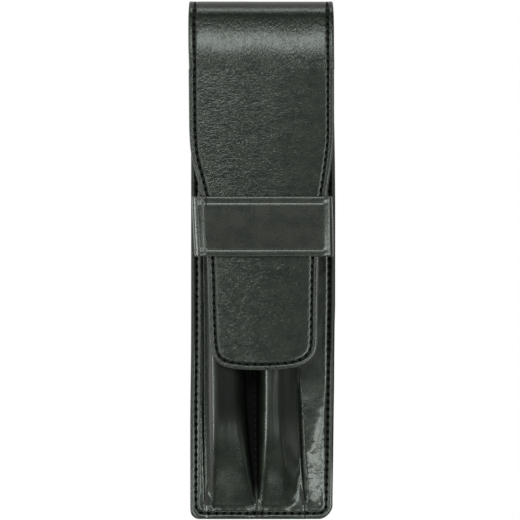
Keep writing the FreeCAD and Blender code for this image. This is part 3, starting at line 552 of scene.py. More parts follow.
def leather(name, colour, rough=0.32, grain=1.0, size=1.0, wrinkle=0.3, coat=0.25, spec=0.5, warm=0.5, wear=0.25, stretch=(1.0, 1.0), seams=True, ripple=0.0):
    """Black grained leather: pebbled grain drawn out one way, fine pores, slow wrinkles, uneven gloss, a little wear on
    raised edges, and near-black, dull places where the seam attribute is set: wax in the stitch holes, with painted
    shade along the seam grooves, in the pocket's valley and on its channel crowns."""
    m, nt, b = nodes_of(name)
    L = nt.links.new
    pos = node(nt, "ShaderNodeAttribute", attribute_name="rest_mm")

    def mul(a, k):
        n = node(nt, "ShaderNodeMath", operation="MULTIPLY")
        L(a, n.inputs[0])
        if isinstance(k, (int, float)):
            n.inputs[1].default_value = k
        else:
            L(k, n.inputs[1])
        return n.outputs[0]

    def add(a, c):
        n = node(nt, "ShaderNodeMath", operation="ADD")
        L(a, n.inputs[0])
        L(c, n.inputs[1])
        return n.outputs[0]

    def remap(a, lo, hi, to_lo, to_hi, kind="LINEAR"):
        n = node(nt, "ShaderNodeMapRange", interpolation_type=kind)
        n.inputs["From Min"].default_value = lo
        n.inputs["From Max"].default_value = hi
        n.inputs["To Min"].default_value = to_lo
        n.inputs["To Max"].default_value = to_hi
        L(a, n.inputs["Value"])
        return n.outputs[0]

    # slow warp, so that the grain never lines up
    warp = node(nt, "ShaderNodeTexNoise", Scale=0.55, Detail=2.0, Roughness=0.5)
    L(pos.outputs["Vector"], warp.inputs["Vector"])
    vm = node(nt, "ShaderNodeVectorMath", operation="MULTIPLY_ADD")
    L(warp.outputs["Color"], vm.inputs[0])
    vm.inputs[1].default_value = (1.3, 1.3, 1.3)
    L(pos.outputs["Vector"], vm.inputs[2])
    vec = vm.outputs[0]
    drawn = node(nt, "ShaderNodeMapping")
    drawn.inputs["Scale"].default_value = (stretch[0], stretch[1], 1.0)
    L(vec, drawn.inputs["Vector"])
    v1 = node(nt, "ShaderNodeTexVoronoi", feature="DISTANCE_TO_EDGE", Scale=1.35 / size, Randomness=1.0)
    L(drawn.outputs[0], v1.inputs["Vector"])
    r1 = remap(v1.outputs["Distance"], 0.0, 0.46, 0.0, 1.0)
    v2 = node(nt, "ShaderNodeTexVoronoi", feature="DISTANCE_TO_EDGE", Scale=3.1 / size, Randomness=1.0)
    L(drawn.outputs[0], v2.inputs["Vector"])
    r2 = remap(v2.outputs["Distance"], 0.0, 0.42, 0.0, 1.0)
    fine = node(nt, "ShaderNodeTexNoise", Scale=2.0 / size, Detail=1.0, Roughness=0.5)
    L(drawn.outputs[0], fine.inputs["Vector"])
    slow = node(nt, "ShaderNodeTexNoise", Scale=0.22, Detail=3.0, Roughness=0.55)
    L(pos.outputs["Vector"], slow.inputs["Vector"])
    # long soft wrinkles
    st = node(nt, "ShaderNodeMapping")
    st.inputs["Scale"].default_value = (0.9, 0.35, 0.6)
    st.inputs["Rotation"].default_value = (0, 0, 0.5)
    L(vec, st.inputs["Vector"])
    wr = node(nt, "ShaderNodeTexNoise", Scale=0.8, Detail=2.0, Roughness=0.5, Distortion=0.6)
    L(st.outputs[0], wr.inputs["Vector"])
    patch = remap(slow.outputs["Fac"], 0.32, 0.68, 0.88, 1.10)          # the grain is stronger in some patches
    g = add(add(mul(r1, 0.034 * grain), mul(r2, 0.004 * grain)), mul(fine.outputs["Fac"], 0.030 * grain))
    height = add(mul(g, patch), mul(wr.outputs["Fac"], 0.30 * wrinkle))
    if ripple:
        # fine wavy ripples across the leather, and coarser grain, both stronger towards the left edge
        xyz = node(nt, "ShaderNodeSeparateXYZ")
        L(pos.outputs["Vector"], xyz.inputs[0])
        side = remap(add(xyz.outputs["X"], mul(slow.outputs["Fac"], 16.0)), -14.0, 26.0, 1.0, 0.0)
        rm = node(nt, "ShaderNodeMapping")
        rm.inputs["Scale"].default_value = (0.72, 1.62, 0.9)
        rm.inputs["Rotation"].default_value = (0, 0, 0.10)
        L(vec, rm.inputs["Vector"])
        rn = node(nt, "ShaderNodeTexNoise", Scale=1.0, Detail=1.0, Roughness=0.5, Distortion=0.5)
        L(rm.outputs[0], rn.inputs["Vector"])
        height = add(mul(height, remap(side, 0.0, 1.0, 0.62, 1.30)), mul(mul(rn.outputs["Fac"], 0.085 * ripple), remap(side, 0.0, 1.0, 0.12, 1.0)))
    bump = node(nt, "ShaderNodeBump", Distance=0.001, Strength=1.0)
    L(height, bump.inputs["Height"])
    L(bump.outputs[0], b.inputs["Normal"])
    # colour: deep black with slow green-brown drift, lighter where the finish has worn on raised places
    ramp = node(nt, "ShaderNodeMix", data_type="RGBA")
    c = colour
    ramp.inputs["A"].default_value = (c[0] * 0.78, c[1] * 0.86, c[2] * 0.86, 1)
    ramp.inputs["B"].default_value = (c[0] * (1.12 + 0.30 * warm), c[1] * (1.10 + 0.18 * warm), c[2] * 1.0, 1)
    L(remap(slow.outputs["Fac"], 0.35, 0.65, 0.0, 1.0, "SMOOTHSTEP"), ramp.inputs["Factor"])
    geo = node(nt, "ShaderNodeNewGeometry")
    tone_shift = node(nt, "ShaderNodeMix", data_type="RGBA")
    L(remap(geo.outputs["Pointiness"], 0.53, 0.66, 0.0, wear), tone_shift.inputs["Factor"])
    L(ramp.outputs["Result"], tone_shift.inputs["A"])
    tone_shift.inputs["B"].default_value = (0.075, 0.070, 0.062, 1)
    colour_out = tone_shift.outputs["Result"]
    # gloss: pores and creases are duller
    gloss = add(remap(r1, 0.0, 1.0, rough + 0.05, rough - 0.02), remap(slow.outputs["Fac"], 0.3, 0.7, -0.018, 0.018))
    # where the seam attribute is set the colour is pulled to near black and the gloss dulled: wax in the stitch holes,
    # painted shade in the seam grooves, the pocket's valley and on the channel crowns
    if seams:
        sm = node(nt, "ShaderNodeAttribute", attribute_name="seam")
        seam_wax_and_shade_mix = node(nt, "ShaderNodeMix", data_type="RGBA")
        L(sm.outputs["Fac"], seam_wax_and_shade_mix.inputs["Factor"])
        L(colour_out, seam_wax_and_shade_mix.inputs["A"])
        seam_wax_and_shade_mix.inputs["B"].default_value = (0.0012, 0.0012, 0.0012, 1)
        colour_out = seam_wax_and_shade_mix.outputs["Result"]
        L(remap(sm.outputs["Fac"], 0.0, 1.0, spec, 0.02), b.inputs["Specular IOR Level"])
        L(remap(sm.outputs["Fac"], 0.0, 0.6, coat, 0.0), b.inputs["Coat Weight"])
        gloss = add(gloss, mul(sm.outputs["Fac"], 0.35))
    else:
        b.inputs["Specular IOR Level"].default_value = spec
        b.inputs["Coat Weight"].default_value = coat
    L(colour_out, b.inputs["Base Color"])
    L(gloss, b.inputs["Roughness"])
    b.inputs["Coat Roughness"].default_value = 0.16
    return m


def suede(name, colour):
    """Matt napped lining with a soft sheen."""
    m, nt, b = nodes_of(name)
    L = nt.links.new
    pos = node(nt, "ShaderNodeAttribute", attribute_name="rest_mm")
    n1 = node(nt, "ShaderNodeTexNoise", Scale=6.5, Detail=4.0, Roughness=0.7)
    L(pos.outputs["Vector"], n1.inputs["Vector"])
    n2 = node(nt, "ShaderNodeTexNoise", Scale=0.25, Detail=3.0, Roughness=0.6, Distortion=0.6)
    L(pos.outputs["Vector"], n2.inputs["Vector"])
    mix = node(nt, "ShaderNodeMix", data_type="RGBA")
    mix.inputs["A"].default_value = (colour[0] * 0.6, colour[1] * 0.6, colour[2] * 0.6, 1)
    mix.inputs["B"].default_value = (colour[0] * 1.6, colour[1] * 1.55, colour[2] * 1.5, 1)
    fm = node(nt, "ShaderNodeMath", operation="MULTIPLY_ADD")
    L(n1.outputs["Fac"], fm.inputs[0])
    fm.inputs[1].default_value = 0.5
    hm = node(nt, "ShaderNodeMath", operation="MULTIPLY")
    L(n2.outputs["Fac"], hm.inputs[0])
    hm.inputs[1].default_value = 0.6
    L(hm.outputs[0], fm.inputs[2])
    L(fm.outputs[0], mix.inputs["Factor"])
    L(mix.outputs["Result"], b.inputs["Base Color"])
    bump = node(nt, "ShaderNodeBump", Distance=0.001, Strength=0.6)
    L(n1.outputs["Fac"], bump.inputs["Height"])
    bump.inputs["Distance"].default_value = 0.0001
    L(bump.outputs[0], b.inputs["Normal"])
    b.inputs["Roughness"].default_value = 0.92
    b.inputs["Sheen Weight"].default_value = 0.35
    b.inputs["Sheen Roughness"].default_value = 0.5
    b.inputs["Specular IOR Level"].default_value = 0.2
    return m


def edge_paint(name):
    """Burnished, painted cut edge: dark and glossy, with fibres showing faintly along it."""
    m, nt, b = nodes_of(name)
    L = nt.links.new
    pos = node(nt, "ShaderNodeAttribute", attribute_name="rest_mm")
    n1 = node(nt, "ShaderNodeTexNoise", Scale=2.4, Detail=4.0, Roughness=0.65)
    L(pos.outputs["Vector"], n1.inputs["Vector"])
    mix = node(nt, "ShaderNodeMix", data_type="RGBA")
    mix.inputs["A"].default_value = (0.010, 0.010, 0.009, 1)
    mix.inputs["B"].default_value = (0.045, 0.040, 0.034, 1)
    L(n1.outputs["Fac"], mix.inputs["Factor"])
    L(mix.outputs["Result"], b.inputs["Base Color"])
    bump = node(nt, "ShaderNodeBump", Distance=0.00008, Strength=0.7)
    L(n1.outputs["Fac"], bump.inputs["Height"])
    L(bump.outputs[0], b.inputs["Normal"])
    rr = node(nt, "ShaderNodeMapRange")
    rr.inputs["To Min"].default_value = 0.25
    rr.inputs["To Max"].default_value = 0.5
    L(n1.outputs["Fac"], rr.inputs["Value"])
    L(rr.outputs[0], b.inputs["Roughness"])
    return m


def waxed_thread(name):
    m, nt, b = nodes_of(name)
    L = nt.links.new
    pos = node(nt, "ShaderNodeAttribute", attribute_name="rest_mm")
    n1 = node(nt, "ShaderNodeTexNoise", Scale=9.0, Detail=3.0, Roughness=0.6)
    L(pos.outputs["Vector"], n1.inputs["Vector"])
    n2 = node(nt, "ShaderNodeTexNoise", Scale=0.6, Detail=2.0, Roughness=0.5)
    L(pos.outputs["Vector"], n2.inputs["Vector"])
    mix = node(nt, "ShaderNodeMix", data_type="RGBA")
    mix.inputs["A"].default_value = (0.0025, 0.0025, 0.0025, 1)
    mix.inputs["B"].default_value = (0.0090, 0.0090, 0.0085, 1)
    L(n2.outputs["Fac"], mix.inputs["Factor"])
    L(mix.outputs["Result"], b.inputs["Base Color"])
    bump = node(nt, "ShaderNodeBump", Distance=0.00005, Strength=0.8)
    L(n1.outputs["Fac"], bump.inputs["Height"])
    L(bump.outputs[0], b.inputs["Normal"])
    b.inputs["Roughness"].default_value = 0.55
    b.inputs["Specular IOR Level"].default_value = 0.18
    return m


BLACK = (0.0080, 0.0104, 0.0080)
M_FLAP = leather("leather_flap", BLACK, rough=0.222, grain=0.70, size=1.05, wrinkle=0.03, coat=0.12, stretch=(0.78, 1.2), ripple=1.35)
M_FOLD = leather("leather_fold", BLACK, rough=0.23, grain=1.25, size=1.10, wrinkle=0.03, coat=0.2, stretch=(1.55, 0.5))
M_STRIP = leather("leather_outer", BLACK, rough=0.33, grain=1.0, size=1.0, wrinkle=0.06, coat=0.15)
M_POCKET = leather("leather_pocket", BLACK, rough=0.26, grain=0.30, size=0.9, wrinkle=0.03, coat=0.40, warm=0.9)
M_BAND = leather("leather_band", (0.0085, 0.0095, 0.0070), rough=0.26, grain=0.05, size=1.2, wrinkle=0.03, coat=0.45, seams=False)
M_LINING = suede("lining_suede", (0.022, 0.021, 0.020))
M_EDGE = edge_paint("leather_edge")
M_THREAD = waxed_thread("thread_waxed")



def finish_piece(ob, slot_name, *replaced):
    if replaced:
        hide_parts(*replaced)
    return ob


# ------------------------------------------------------------------ seams of the strip
span_holes_S = SPAN0 + P_SPAN * np.arange(N_SPAN + 1)


def span_holes():
    w = edge_x(span_holes_S) - MARGIN
    return np.concatenate([-w, w]), np.concatenate([span_holes_S, span_holes_S])


def seam_line(outline, margin=MARGIN):
    t = np.gradient(outline, axis=0)
    t /= np.linalg.norm(t, axis=1)[:, None]
    n = np.stack([-t[:, 1], t[:, 0]], 1)
    if ((outline.mean(0) - outline) * n).sum() < 0:
        n = -n
    return outline + n * margin


# flap outline in (x, S): from the cut down the left side, round the tongue and up the right
flap_front = [(x, S3 + (YS - Y0) - y) for x, y in OUTLINE]
dense = spline(flap_front)
s_cut = SPAN1
up = np.arange(s_cut, dense[0, 1], 0.1)
flap_line = np.vstack([np.stack([-edge_x(up), up], 1), dense, np.stack([edge_x(up), up], 1)[::-1]])
flap_seam = seam_line(flap_line)
fl_len = arclen(flap_seam)[-1]
fl_n = int(round(fl_len / PITCH))
flap_hole = along(flap_seam, np.linspace(0, fl_len, fl_n + 1))
flap_mid = along(flap_seam, (np.arange(fl_n) + 0.5) * fl_len / fl_n)
flap_tan = along(flap_seam, (np.arange(fl_n) + 0.5) * fl_len / fl_n + 0.2) - along(flap_seam, (np.arange(fl_n) + 0.5) * fl_len / fl_n - 0.2)

# back outline in (x, S): from the cut down the left side, round the bottom and up the right
q = np.linspace(0, PI / 2, 30)
down = np.arange(SPAN0, RC, -0.1)
back_left = np.vstack([
    np.stack([np.full(len(down), -HALF), down], 1),
    np.stack([-HALF + RC - RC * np.cos(q), RC - RC * np.sin(q)], 1),
])
back_line = np.vstack([back_left, np.stack([np.linspace(-HALF + RC, HALF - RC, 240)[1:-1], np.zeros(238)], 1), back_left[::-1] * [-1, 1]])
back_seam = seam_line(back_line)
bk_len = arclen(back_seam)[-1]
bk_n = int(round(bk_len / PITCH))
back_hole = along(back_seam, np.linspace(0, bk_len, bk_n + 1))
bk_at = (np.arange(bk_n) + 0.5) * bk_len / bk_n
back_mid = along(back_seam, bk_at)
back_tan = along(back_seam, bk_at + 0.2) - along(back_seam, bk_at - 0.2)

mats_leather = [M_STRIP, M_EDGE, M_EDGE]
mats_fold = [M_FOLD, M_EDGE, M_EDGE]
mats_flap = [M_FLAP, M_EDGE, M_EDGE]
mats_lining = [M_LINING, M_EDGE]

flap_l = u_piece("flap_leather_skin", LEATHER, flap_line, (flap_hole[:, 0], flap_hole[:, 1]), mats_flap)
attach(finish_piece(flap_l, "leather", "flap_leather"), "flap")
flap_n = u_piece("flap_lining_skin", LINING, flap_line, (flap_hole[:, 0], flap_hole[:, 1]), mats_lining, mat_of=(0, 1, 0))
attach(finish_piece(flap_n, "lining", "flap_lining"), "flap")
back_l = u_piece("back_leather_skin", LEATHER, back_line, (back_hole[:, 0], back_hole[:, 1]), mats_leather, flip=True)
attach(finish_piece(back_l, "leather", "back_leather"), "case")
back_n = u_piece("back_lining_skin", LINING, back_line, (back_hole[:, 0], back_hole[:, 1]), mats_lining, flip=True, mat_of=(0, 1, 0))
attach(finish_piece(back_n, "lining", "back_lining"), "case")

def stitches_between(a, b, inside):
    out = []
    for k in range(N_SPAN):
        S = SPAN0 + (k + 0.5) * P_SPAN
        if a <= S < b:
            for side in (-1, 1):
                x = side * (float(edge_x(S)) - MARGIN)
                out.append(strip_stitch(x, S, 0.0, float(side), (SKIN + 0.02) if inside else -0.02, inside))
    return out


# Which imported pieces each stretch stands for: the stretches overlap them at the cuts, and together cover all three bodies.
STANDS_FOR = ["fold_lower", "fold_middle", "fold_upper", "fold_upper"]
for k, (start_S, (body_a, body_b), bend0, bend1) in enumerate(BENDS):
    end_S = BENDS[k + 1][0] if k + 1 < len(BENDS) else SPAN1
    made = [
        finish_piece(straight_piece("fold_leather_%d" % (k + 1), LEATHER, start_S, end_S, span_holes(), mats_fold), "leather", STANDS_FOR[k] + "_leather"),
        finish_piece(straight_piece("fold_lining_%d" % (k + 1), LINING, start_S, end_S, span_holes(), mats_lining, mat_of=(0, 1, 0)), "lining", STANDS_FOR[k] + "_lining"),
        finish_piece(thread_mesh("fold_stitches_%d" % (k + 1), stitches_between(start_S, end_S, False) + stitches_between(start_S, end_S, True), M_THREAD), "thread", STANDS_FOR[k] + "_thread"),
    ]
    for ob in made:
        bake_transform(ob)

ft = [strip_stitch(x, S, tx, tS, -0.02) for (x, S), (tx, tS) in zip(flap_mid, flap_tan)]
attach(finish_piece(thread_mesh("flap_stitches", ft, M_THREAD), "thread", "flap_thread"), "flap")
ft = [strip_stitch(x, S, tx, tS, SKIN + 0.02, True) for (x, S), (tx, tS) in zip(flap_mid, flap_tan)]
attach(finish_piece(thread_mesh("flap_inner_stitches", ft, M_THREAD), "thread", "flap_inner_thread"), "flap")
bt = [strip_stitch(x, S, tx, tS, 0.10) for (x, S), (tx, tS) in zip(back_mid, back_tan)]
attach(finish_piece(thread_mesh("back_stitches", bt, M_THREAD), "thread", "back_seam_thread"), "case")
bt = [strip_stitch(x, S, tx, tS, SKIN + 0.02, True) for (x, S), (tx, tS) in zip(back_mid, back_tan) if S > MOUTH - Y0 + 1.2]
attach(finish_piece(thread_mesh("back_inner_stitches", bt, M_THREAD), "thread", "back_inner_thread"), "case")

# ------------------------------------------------------------------ pocket: one pleated sheet over two pens
Z0 = SKIN                                 # the lining's face, which the flange lies on
FZ = Z0 + 1.0                             # top of the flange
# y above the bottom seam, crease left, crease right, height of the channel's crest above Z0
CH_L = [(0, -17.75, -1.62, 1.75), (3, -17.8, -1.72, 1.95), (6, -17.85, -2.0, 2.9), (10, -17.9, -2.45, 4.3), (18, -18.0, -3.5, 7.4), (30, -18.1, -4.75, 10.6),
        (44, -18.2, -5.55, 12.4), (62, -18.4, -5.5, 12.75), (90, -18.7, -4.9, 12.75), (126, -18.9, -4.4, 12.75)]
CH_R = [(0, -1.50, 13.95, 1.75), (3, -1.48, 13.8, 1.95), (6, -1.45, 13.5, 2.9), (10, -1.40, 13.2, 4.3), (18, -1.35, 12.5, 7.4), (30, -1.3, 11.85, 10.6),
        (44, -1.25, 11.45, 12.4), (62, -1.2, 11.75, 12.75), (90, -1.1, 12.7, 12.75), (126, -0.9, 13.5, 12.75)]


def table_at(tab, y):
    """Rows of a channel table at the heights y, by curves that never overshoot."""
    t = np.array(tab, float)
    ys = t[:, 0]
    out = [y]
    for c in (1, 2, 3):
        v = t[:, c]
        d = np.diff(v) / np.diff(ys)
        m = np.concatenate([[d[0]], np.where(d[:-1] * d[1:] > 0, 2 * d[:-1] * d[1:] / np.where(d[:-1] + d[1:] == 0, 1, d[:-1] + d[1:]), 0), [d[-1]]])
        k = np.clip(np.searchsorted(ys, y, side="right") - 1, 0, len(ys) - 2)
        w = ys[k + 1] - ys[k]
        u = (y - ys[k]) / w
        out.append((2 * u ** 3 - 3 * u ** 2 + 1) * v[k] + (u ** 3 - 2 * u ** 2 + u) * w * m[k] + (3 * u ** 2 - 2 * u ** 3) * v[k + 1] + (u ** 3 - u ** 2) * w * m[k + 1])
    return np.stack(out, 1)


# rows: close together at the bottom seam and at the mouth
YM = MOUTH - Y0
near = [0.0, 0.03, 0.10, 0.21, 0.36, 0.55, 0.78, 1.02, 1.26, 1.47, 1.63, 1.78, 1.93, 2.08, 2.23, 2.42, 2.75, 3.15, 3.6]
mid_rows = np.concatenate([np.arange(3.6 + 0.4, 40.0, 0.4), np.linspace(40.0, YM - 2.6, int((YM - 42.6) / 0.62) + 1)[:-1]])
mouth_rows = YM - np.array([2.6, 2.3, 2.05, 1.9, 1.75, 1.5, 1.2, 0.9, 0.6, 0.36, 0.2, 0.09, 0.03, 0.0])
PY = np.concatenate([near, mid_rows, mouth_rows])
NR = len(PY)
ROW_L, ROW_R = table_at(CH_L, PY), table_at(CH_R, PY)
XE = np.where(PY < RC, HALF - RC + np.sqrt(np.clip(RC ** 2 - (RC - PY) ** 2, 0, None)), HALF)
OPEN = smooth(4.0, 40.0, PY)              # how fully a channel has opened out at each row


def chain(controls, counts):
    """Cubic through each row's control points, sampled the same way on every row. controls: rows x points x 2."""
    out = []
    n = controls.shape[1]
    t = np.arange(n, dtype=float)
    A = np.zeros((n, n))
    A[0, 0] = A[-1, -1] = 1
    for i in range(1, n - 1):
        A[i, i - 1], A[i, i], A[i, i + 1] = 1, 4, 1
    P = controls
    B = np.zeros_like(P)
    B[:, 1:-1] = 6 * (P[:, 2:] - 2 * P[:, 1:-1] + P[:, :-2])
    M = np.einsum("ij,rjk->rik", np.linalg.inv(A), B)
    for i, c in enumerate(counts):
        u = np.linspace(0, 1, c, endpoint=False)[None, :, None]
        a, b2, ma, mb = P[:, i:i + 1], P[:, i + 1:i + 2], M[:, i:i + 1], M[:, i + 1:i + 2]
        w = 1 - u
        out.append(a * w + b2 * u + ((w ** 3 - w) * ma + (u ** 3 - u) * mb) / 6)
    out.append(P[:, -1:])
    return np.concatenate(out, 1)


def stack2(*xz):
    return np.stack([np.stack([np.broadcast_to(x, (NR,)), np.broadcast_to(z, (NR,))], 1) for x, z in xz], 1)


# left channel: steep outer wall, flat crown that leans left, hidden inner wall down to the valley
aL, bL, hL = ROW_L[:, 1], ROW_L[:, 2], ROW_L[:, 3]
wL = bL - aL
aR, bR, hR = ROW_R[:, 1], ROW_R[:, 2], ROW_R[:, 3]
wR = bR - aR
lip = 0.55 + 0.25 * OPEN                  # the pleat's rounded lip stands this far over the flange
crL = np.maximum(0.22 * hL, 0.55) + 0.45
crR = np.maximum(0.25 * hR, 0.55) + 0.45
high = smooth(42.0, 62.0, PY)
LEFT_CTRL = stack2(
    (aL + 0.95, FZ), (aL + 0.55, FZ + 0.12 * OPEN + 0.02), (aL + 0.10, Z0 + crL - 0.44), (aL - 0.10, Z0 + crL - 0.06), (aL + 0.14, Z0 + crL + 0.14),
    (aL + 0.58, Z0 + np.maximum(crL + 0.46, 0.28 * hL)), (aL + 0.052 * wL + 0.5, Z0 + np.maximum(crL + 0.62, 0.62 * hL)),
    (aL + 0.105 * wL + 0.45 - 0.12 * high, Z0 + np.maximum(crL + 0.66, 0.80 * hL)), (aL + (0.19 - 0.03 * high) * wL, Z0 + np.maximum(crL + 0.68, 0.92 * hL)),
    (aL + (0.31 - 0.07 * high) * wL, Z0 + np.maximum(crL + 0.7, 0.98 * hL)), (aL + 0.47 * wL, Z0 + np.maximum(crL + 0.7, 1.0 * hL)),
    (aL + 0.63 * wL, Z0 + np.maximum(crL + 0.66, 0.985 * hL)), (aL + 0.77 * wL, Z0 + np.maximum(crL + 0.6, 0.935 * hL)),
    (aL + 0.885 * wL, Z0 + np.maximum(crL + 0.45, 0.82 * hL)), (aL + 0.955 * wL, Z0 + np.maximum(crL + 0.2, 0.62 * hL)),
    (aL + 0.99 * wL, Z0 + np.maximum(1.35, 0.34 * hL)), (bL + 0.10, FZ + 0.10),
)
# right channel: inner wall rises to a soft ridge, crown, then a long slope down to the outer pleat
RIGHT_CTRL = stack2(
    (aR - 0.05, FZ + 0.10), (aR + 0.012 * wR, Z0 + np.maximum(1.35, 0.32 * hR)), (aR + 0.045 * wR, Z0 + np.maximum(crR + 0.2, 0.60 * hR)),
    (aR + 0.105 * wR, Z0 + np.maximum(crR + 0.45, 0.82 * hR)), (aR + 0.20 * wR, Z0 + np.maximum(crR + 0.6, 0.955 * hR)),
    (aR + 0.32 * wR, Z0 + np.maximum(crR + 0.7, 1.0 * hR)), (aR + 0.46 * wR, Z0 + np.maximum(crR + 0.7, 0.985 * hR)),
    (aR + 0.585 * wR, Z0 + np.maximum(crR + 0.68, 0.925 * hR)), (aR + 0.69 * wR, Z0 + np.maximum(crR + 0.66, 0.81 * hR)),
    (aR + 0.79 * wR, Z0 + np.maximum(crR + 0.62, 0.665 * hR)), (aR + 0.885 * wR, Z0 + np.maximum(crR + 0.56, 0.50 * hR)),
    (bR - 0.62, Z0 + np.maximum(crR + 0.50, 0.375 * hR)), (bR - 0.22, Z0 + crR + 0.34), (bR - 0.02, Z0 + crR), (bR - 0.18, Z0 + crR - 0.38),
    (bR - 0.55, FZ + 0.12 * OPEN + 0.02), (bR - 0.95, FZ),
)
SEC_L = chain(LEFT_CTRL, [3, 4, 4, 4, 4, 4, 5, 5, 5, 5, 5, 5, 5, 5, 5, 5])
SEC_R = chain(RIGHT_CTRL, [5, 5, 5, 5, 5, 5, 5, 5, 5, 4, 4, 4, 4, 4, 4, 3])
valley_n = 7
VAL = np.stack([SEC_L[:, -1] + (SEC_R[:, 0] - SEC_L[:, -1]) * k / valley_n for k in range(1, valley_n)], 1)
VAL[:, :, 1] = np.minimum(VAL[:, :, 1], FZ + 0.02)
# flanges, with the same spacing in from the edge as every other seam
ring_d = np.array([d for d, _ in TOP_RINGS])


def flange(side, root):
    room = np.abs(root - side * XE)                      # rows
    d = np.concatenate([ring_d, [4.1]])
    far = np.minimum(1.0, room / 4.3)
    xs = [side * (XE - k * far) for k in d]
    extra = 9
    last = xs[-1]
    for k in range(1, extra):
        xs.append(last + (root - last) * k / extra)
    return np.stack(xs, 1)


FL = flange(-1, SEC_L[:, 0, 0])
FR = flange(1, SEC_R[:, -1, 0])[:, ::-1]
flat_l = np.stack([FL, np.full(FL.shape, FZ)], 2)
flat_r = np.stack([FR, np.full(FR.shape, FZ)], 2)
SHEET = np.concatenate([flat_l, SEC_L, VAL, SEC_R, flat_r], 1)      # rows x columns x (x, z)
NC = SHEET.shape[1]
nL, nV, nR_ = FL.shape[1], SEC_L.shape[1], SEC_R.shape[1]
i_left = (nL, nL + nV)
i_right = (NC - FR.shape[1] - nR_, NC - FR.shape[1])
X = SHEET[:, :, 0].copy()
Y = np.repeat(PY[:, None], NC, 1)
Z = SHEET[:, :, 1].copy()


def outline_distance(x, y):
    x = np.abs(x)
    corner = (y < RC) & (x > HALF - RC)
    return np.where(corner, RC - np.hypot(x - (HALF - RC), RC - y), np.minimum(HALF - x, y))


def near_any(x, y, hx, hy):
    return nearest(x, y, hx, hy)


D = outline_distance(X, Y)
# the same stitch holes as the back, which the thread goes through
fh = back_hole[back_hole[:, 1] < YM + 1.0]
BAND_LO, BAND_HI = (bd0.y * 1000 - Y0), (bd1.y * 1000 - Y0)
hole = nearest(X, Y, fh[:, 0], fh[:, 1])
rel = relief(np.clip(D, 0, IN), hole, 1.0) * smooth(0.0, 0.35, D)
on_flat = np.ones_like(Z)
for (a, b) in (i_left, i_right):
    on_flat[:, a + 2:b - 2] = 0.0
bottom = 1 - smooth(3.2, 5.0, Y)
Z += rel * np.maximum(on_flat * (D < 3.4), bottom * (D < 4.2)) * 1.0
# cut edge turns down
Z -= 0.46 * (1 - np.sqrt(np.clip(1 - (1 - np.clip(D / 0.40, 0, 1)) ** 2, 0, 1)))
# seam in the valley
seam_x = np.interp(PY, [0, 17, 44, 126], [-1.56, -1.95, -2.35, -2.35])
vd = np.abs(X - seam_x[:, None])
in_valley = np.zeros_like(Z)
in_valley[:, i_left[1] - 1:i_right[0] + 1] = 1
Z -= in_valley * 0.12 * np.exp(-(vd / 0.4) ** 2) * smooth(12, 18, Y)
# slow unevenness, wrinkles drawn out of the bottom corners, a long dent down the right crown, soft puckers above the seam
body = np.zeros_like(Z)
body[:, i_left[0] + 8:i_left[1] - 4] = 1
body[:, i_right[0] + 4:i_right[1] - 8] = 1
body *= smooth(2.5, 9, Y)
slow = 0.10 * value_noise(X, Y * 0.30, 11, 5.5) + 0.025 * value_noise(X, Y * 0.5, 12, 2.6)
Z += slow * body
dent_x = np.interp(PY, [8, 28, 45, 60], [10.6, 7.6, 6.4, 6.2])[:, None]
Z -= 0.24 * np.exp(-((X - dent_x) / 2.1) ** 2) * smooth(4, 12, Y) * (1 - smooth(34, 52, Y)) * body
dent2 = np.interp(PY, [6, 20, 44, 60], [-6.8, -8.0, -9.2, -9.8])[:, None]
Z -= 0.12 * np.exp(-((X - dent2) / 2.0) ** 2) * smooth(5, 14, Y) * (1 - smooth(26, 44, Y)) * body
for px, amp, wdt, reach in ((-14.2, 0.08, 1.0, 9), (-10.6, 0.10, 1.1, 12), (-6.9, 0.08, 1.0, 10), (-3.9, 0.07, 0.9, 8), (1.4, 0.08, 0.9, 9), (4.6, 0.08, 1.3, 10), (8.4, 0.06, 1.5, 9)):
    Z -= amp * np.exp(-((X - px - 0.05 * (Y - 3)) / wdt) ** 2) * smooth(2.3, 3.6, Y) * (1 - smooth(reach * 0.4, reach, Y)) * (1 - on_flat)
# flanges: a gentle crown and fine wrinkles, strongest low down on the right
fl_room = np.zeros_like(Z)
fl_room[:, :nL] = 1
fl_room[:, NC - FR.shape[1]:] = 1
inner = smooth(2.3, 4.0, D) * fl_room
right_low = np.where(X > 0, 1.0, 0.55) * (1 - smooth(24, 44, Y)) * smooth(1.5, 5.0, Y)
root_r, root_l = bR[:, None], aL[:, None]
reach_r = (X - root_r - 0.25) / np.maximum(XE[:, None] - 1.93 - root_r - 0.25, 0.5)
reach_l = (root_l - X - 0.25) / np.maximum(XE[:, None] - 1.93 + root_l - 0.25, 0.5)
reach = np.clip(np.where(X > 0, reach_r, reach_l), 0, 1)
past = np.where(X > 0, smooth(-0.05, 0.9, X - root_r), smooth(-0.05, 0.9, root_l - X))
low_down = (1 - smooth(29, 48, Y)) * smooth(2.6, 15.0, Y)
power = np.where(X > 0, np.interp(Y, [4, 20, 36], [1.05, 1.6, 5.5]), np.interp(Y, [4, 20, 38], [1.1, 1.5, 3.0]))
Z += fl_room * past * (1 - reach ** power) * (0.14 + np.where(X > 0, 1.30, 0.46) * low_down)
ang = np.arctan2(Y - 2.0, np.abs(HALF - 1.0 - X) + 0.5)
far_ = np.hypot(X - HALF, Y)
fan = value_noise(ang * 24.0, far_ * 0.5, 21, 1.6) + 0.6 * value_noise(ang * 50.0, far_ * 0.9, 22, 1.7)
crackle = 1 - 2.0 * np.abs(value_noise(X + 0.6 * value_noise(X, Y, 51, 3.0), Y * 0.9, 52, 1.25)) ** 0.8
Z += inner * right_low * (0.070 * fan + 0.060 * crackle + 0.035 * value_noise(X * 1.3, Y, 61, 0.8))
Z += 0.035 * value_noise(X, Y, 31, 1.7) * inner
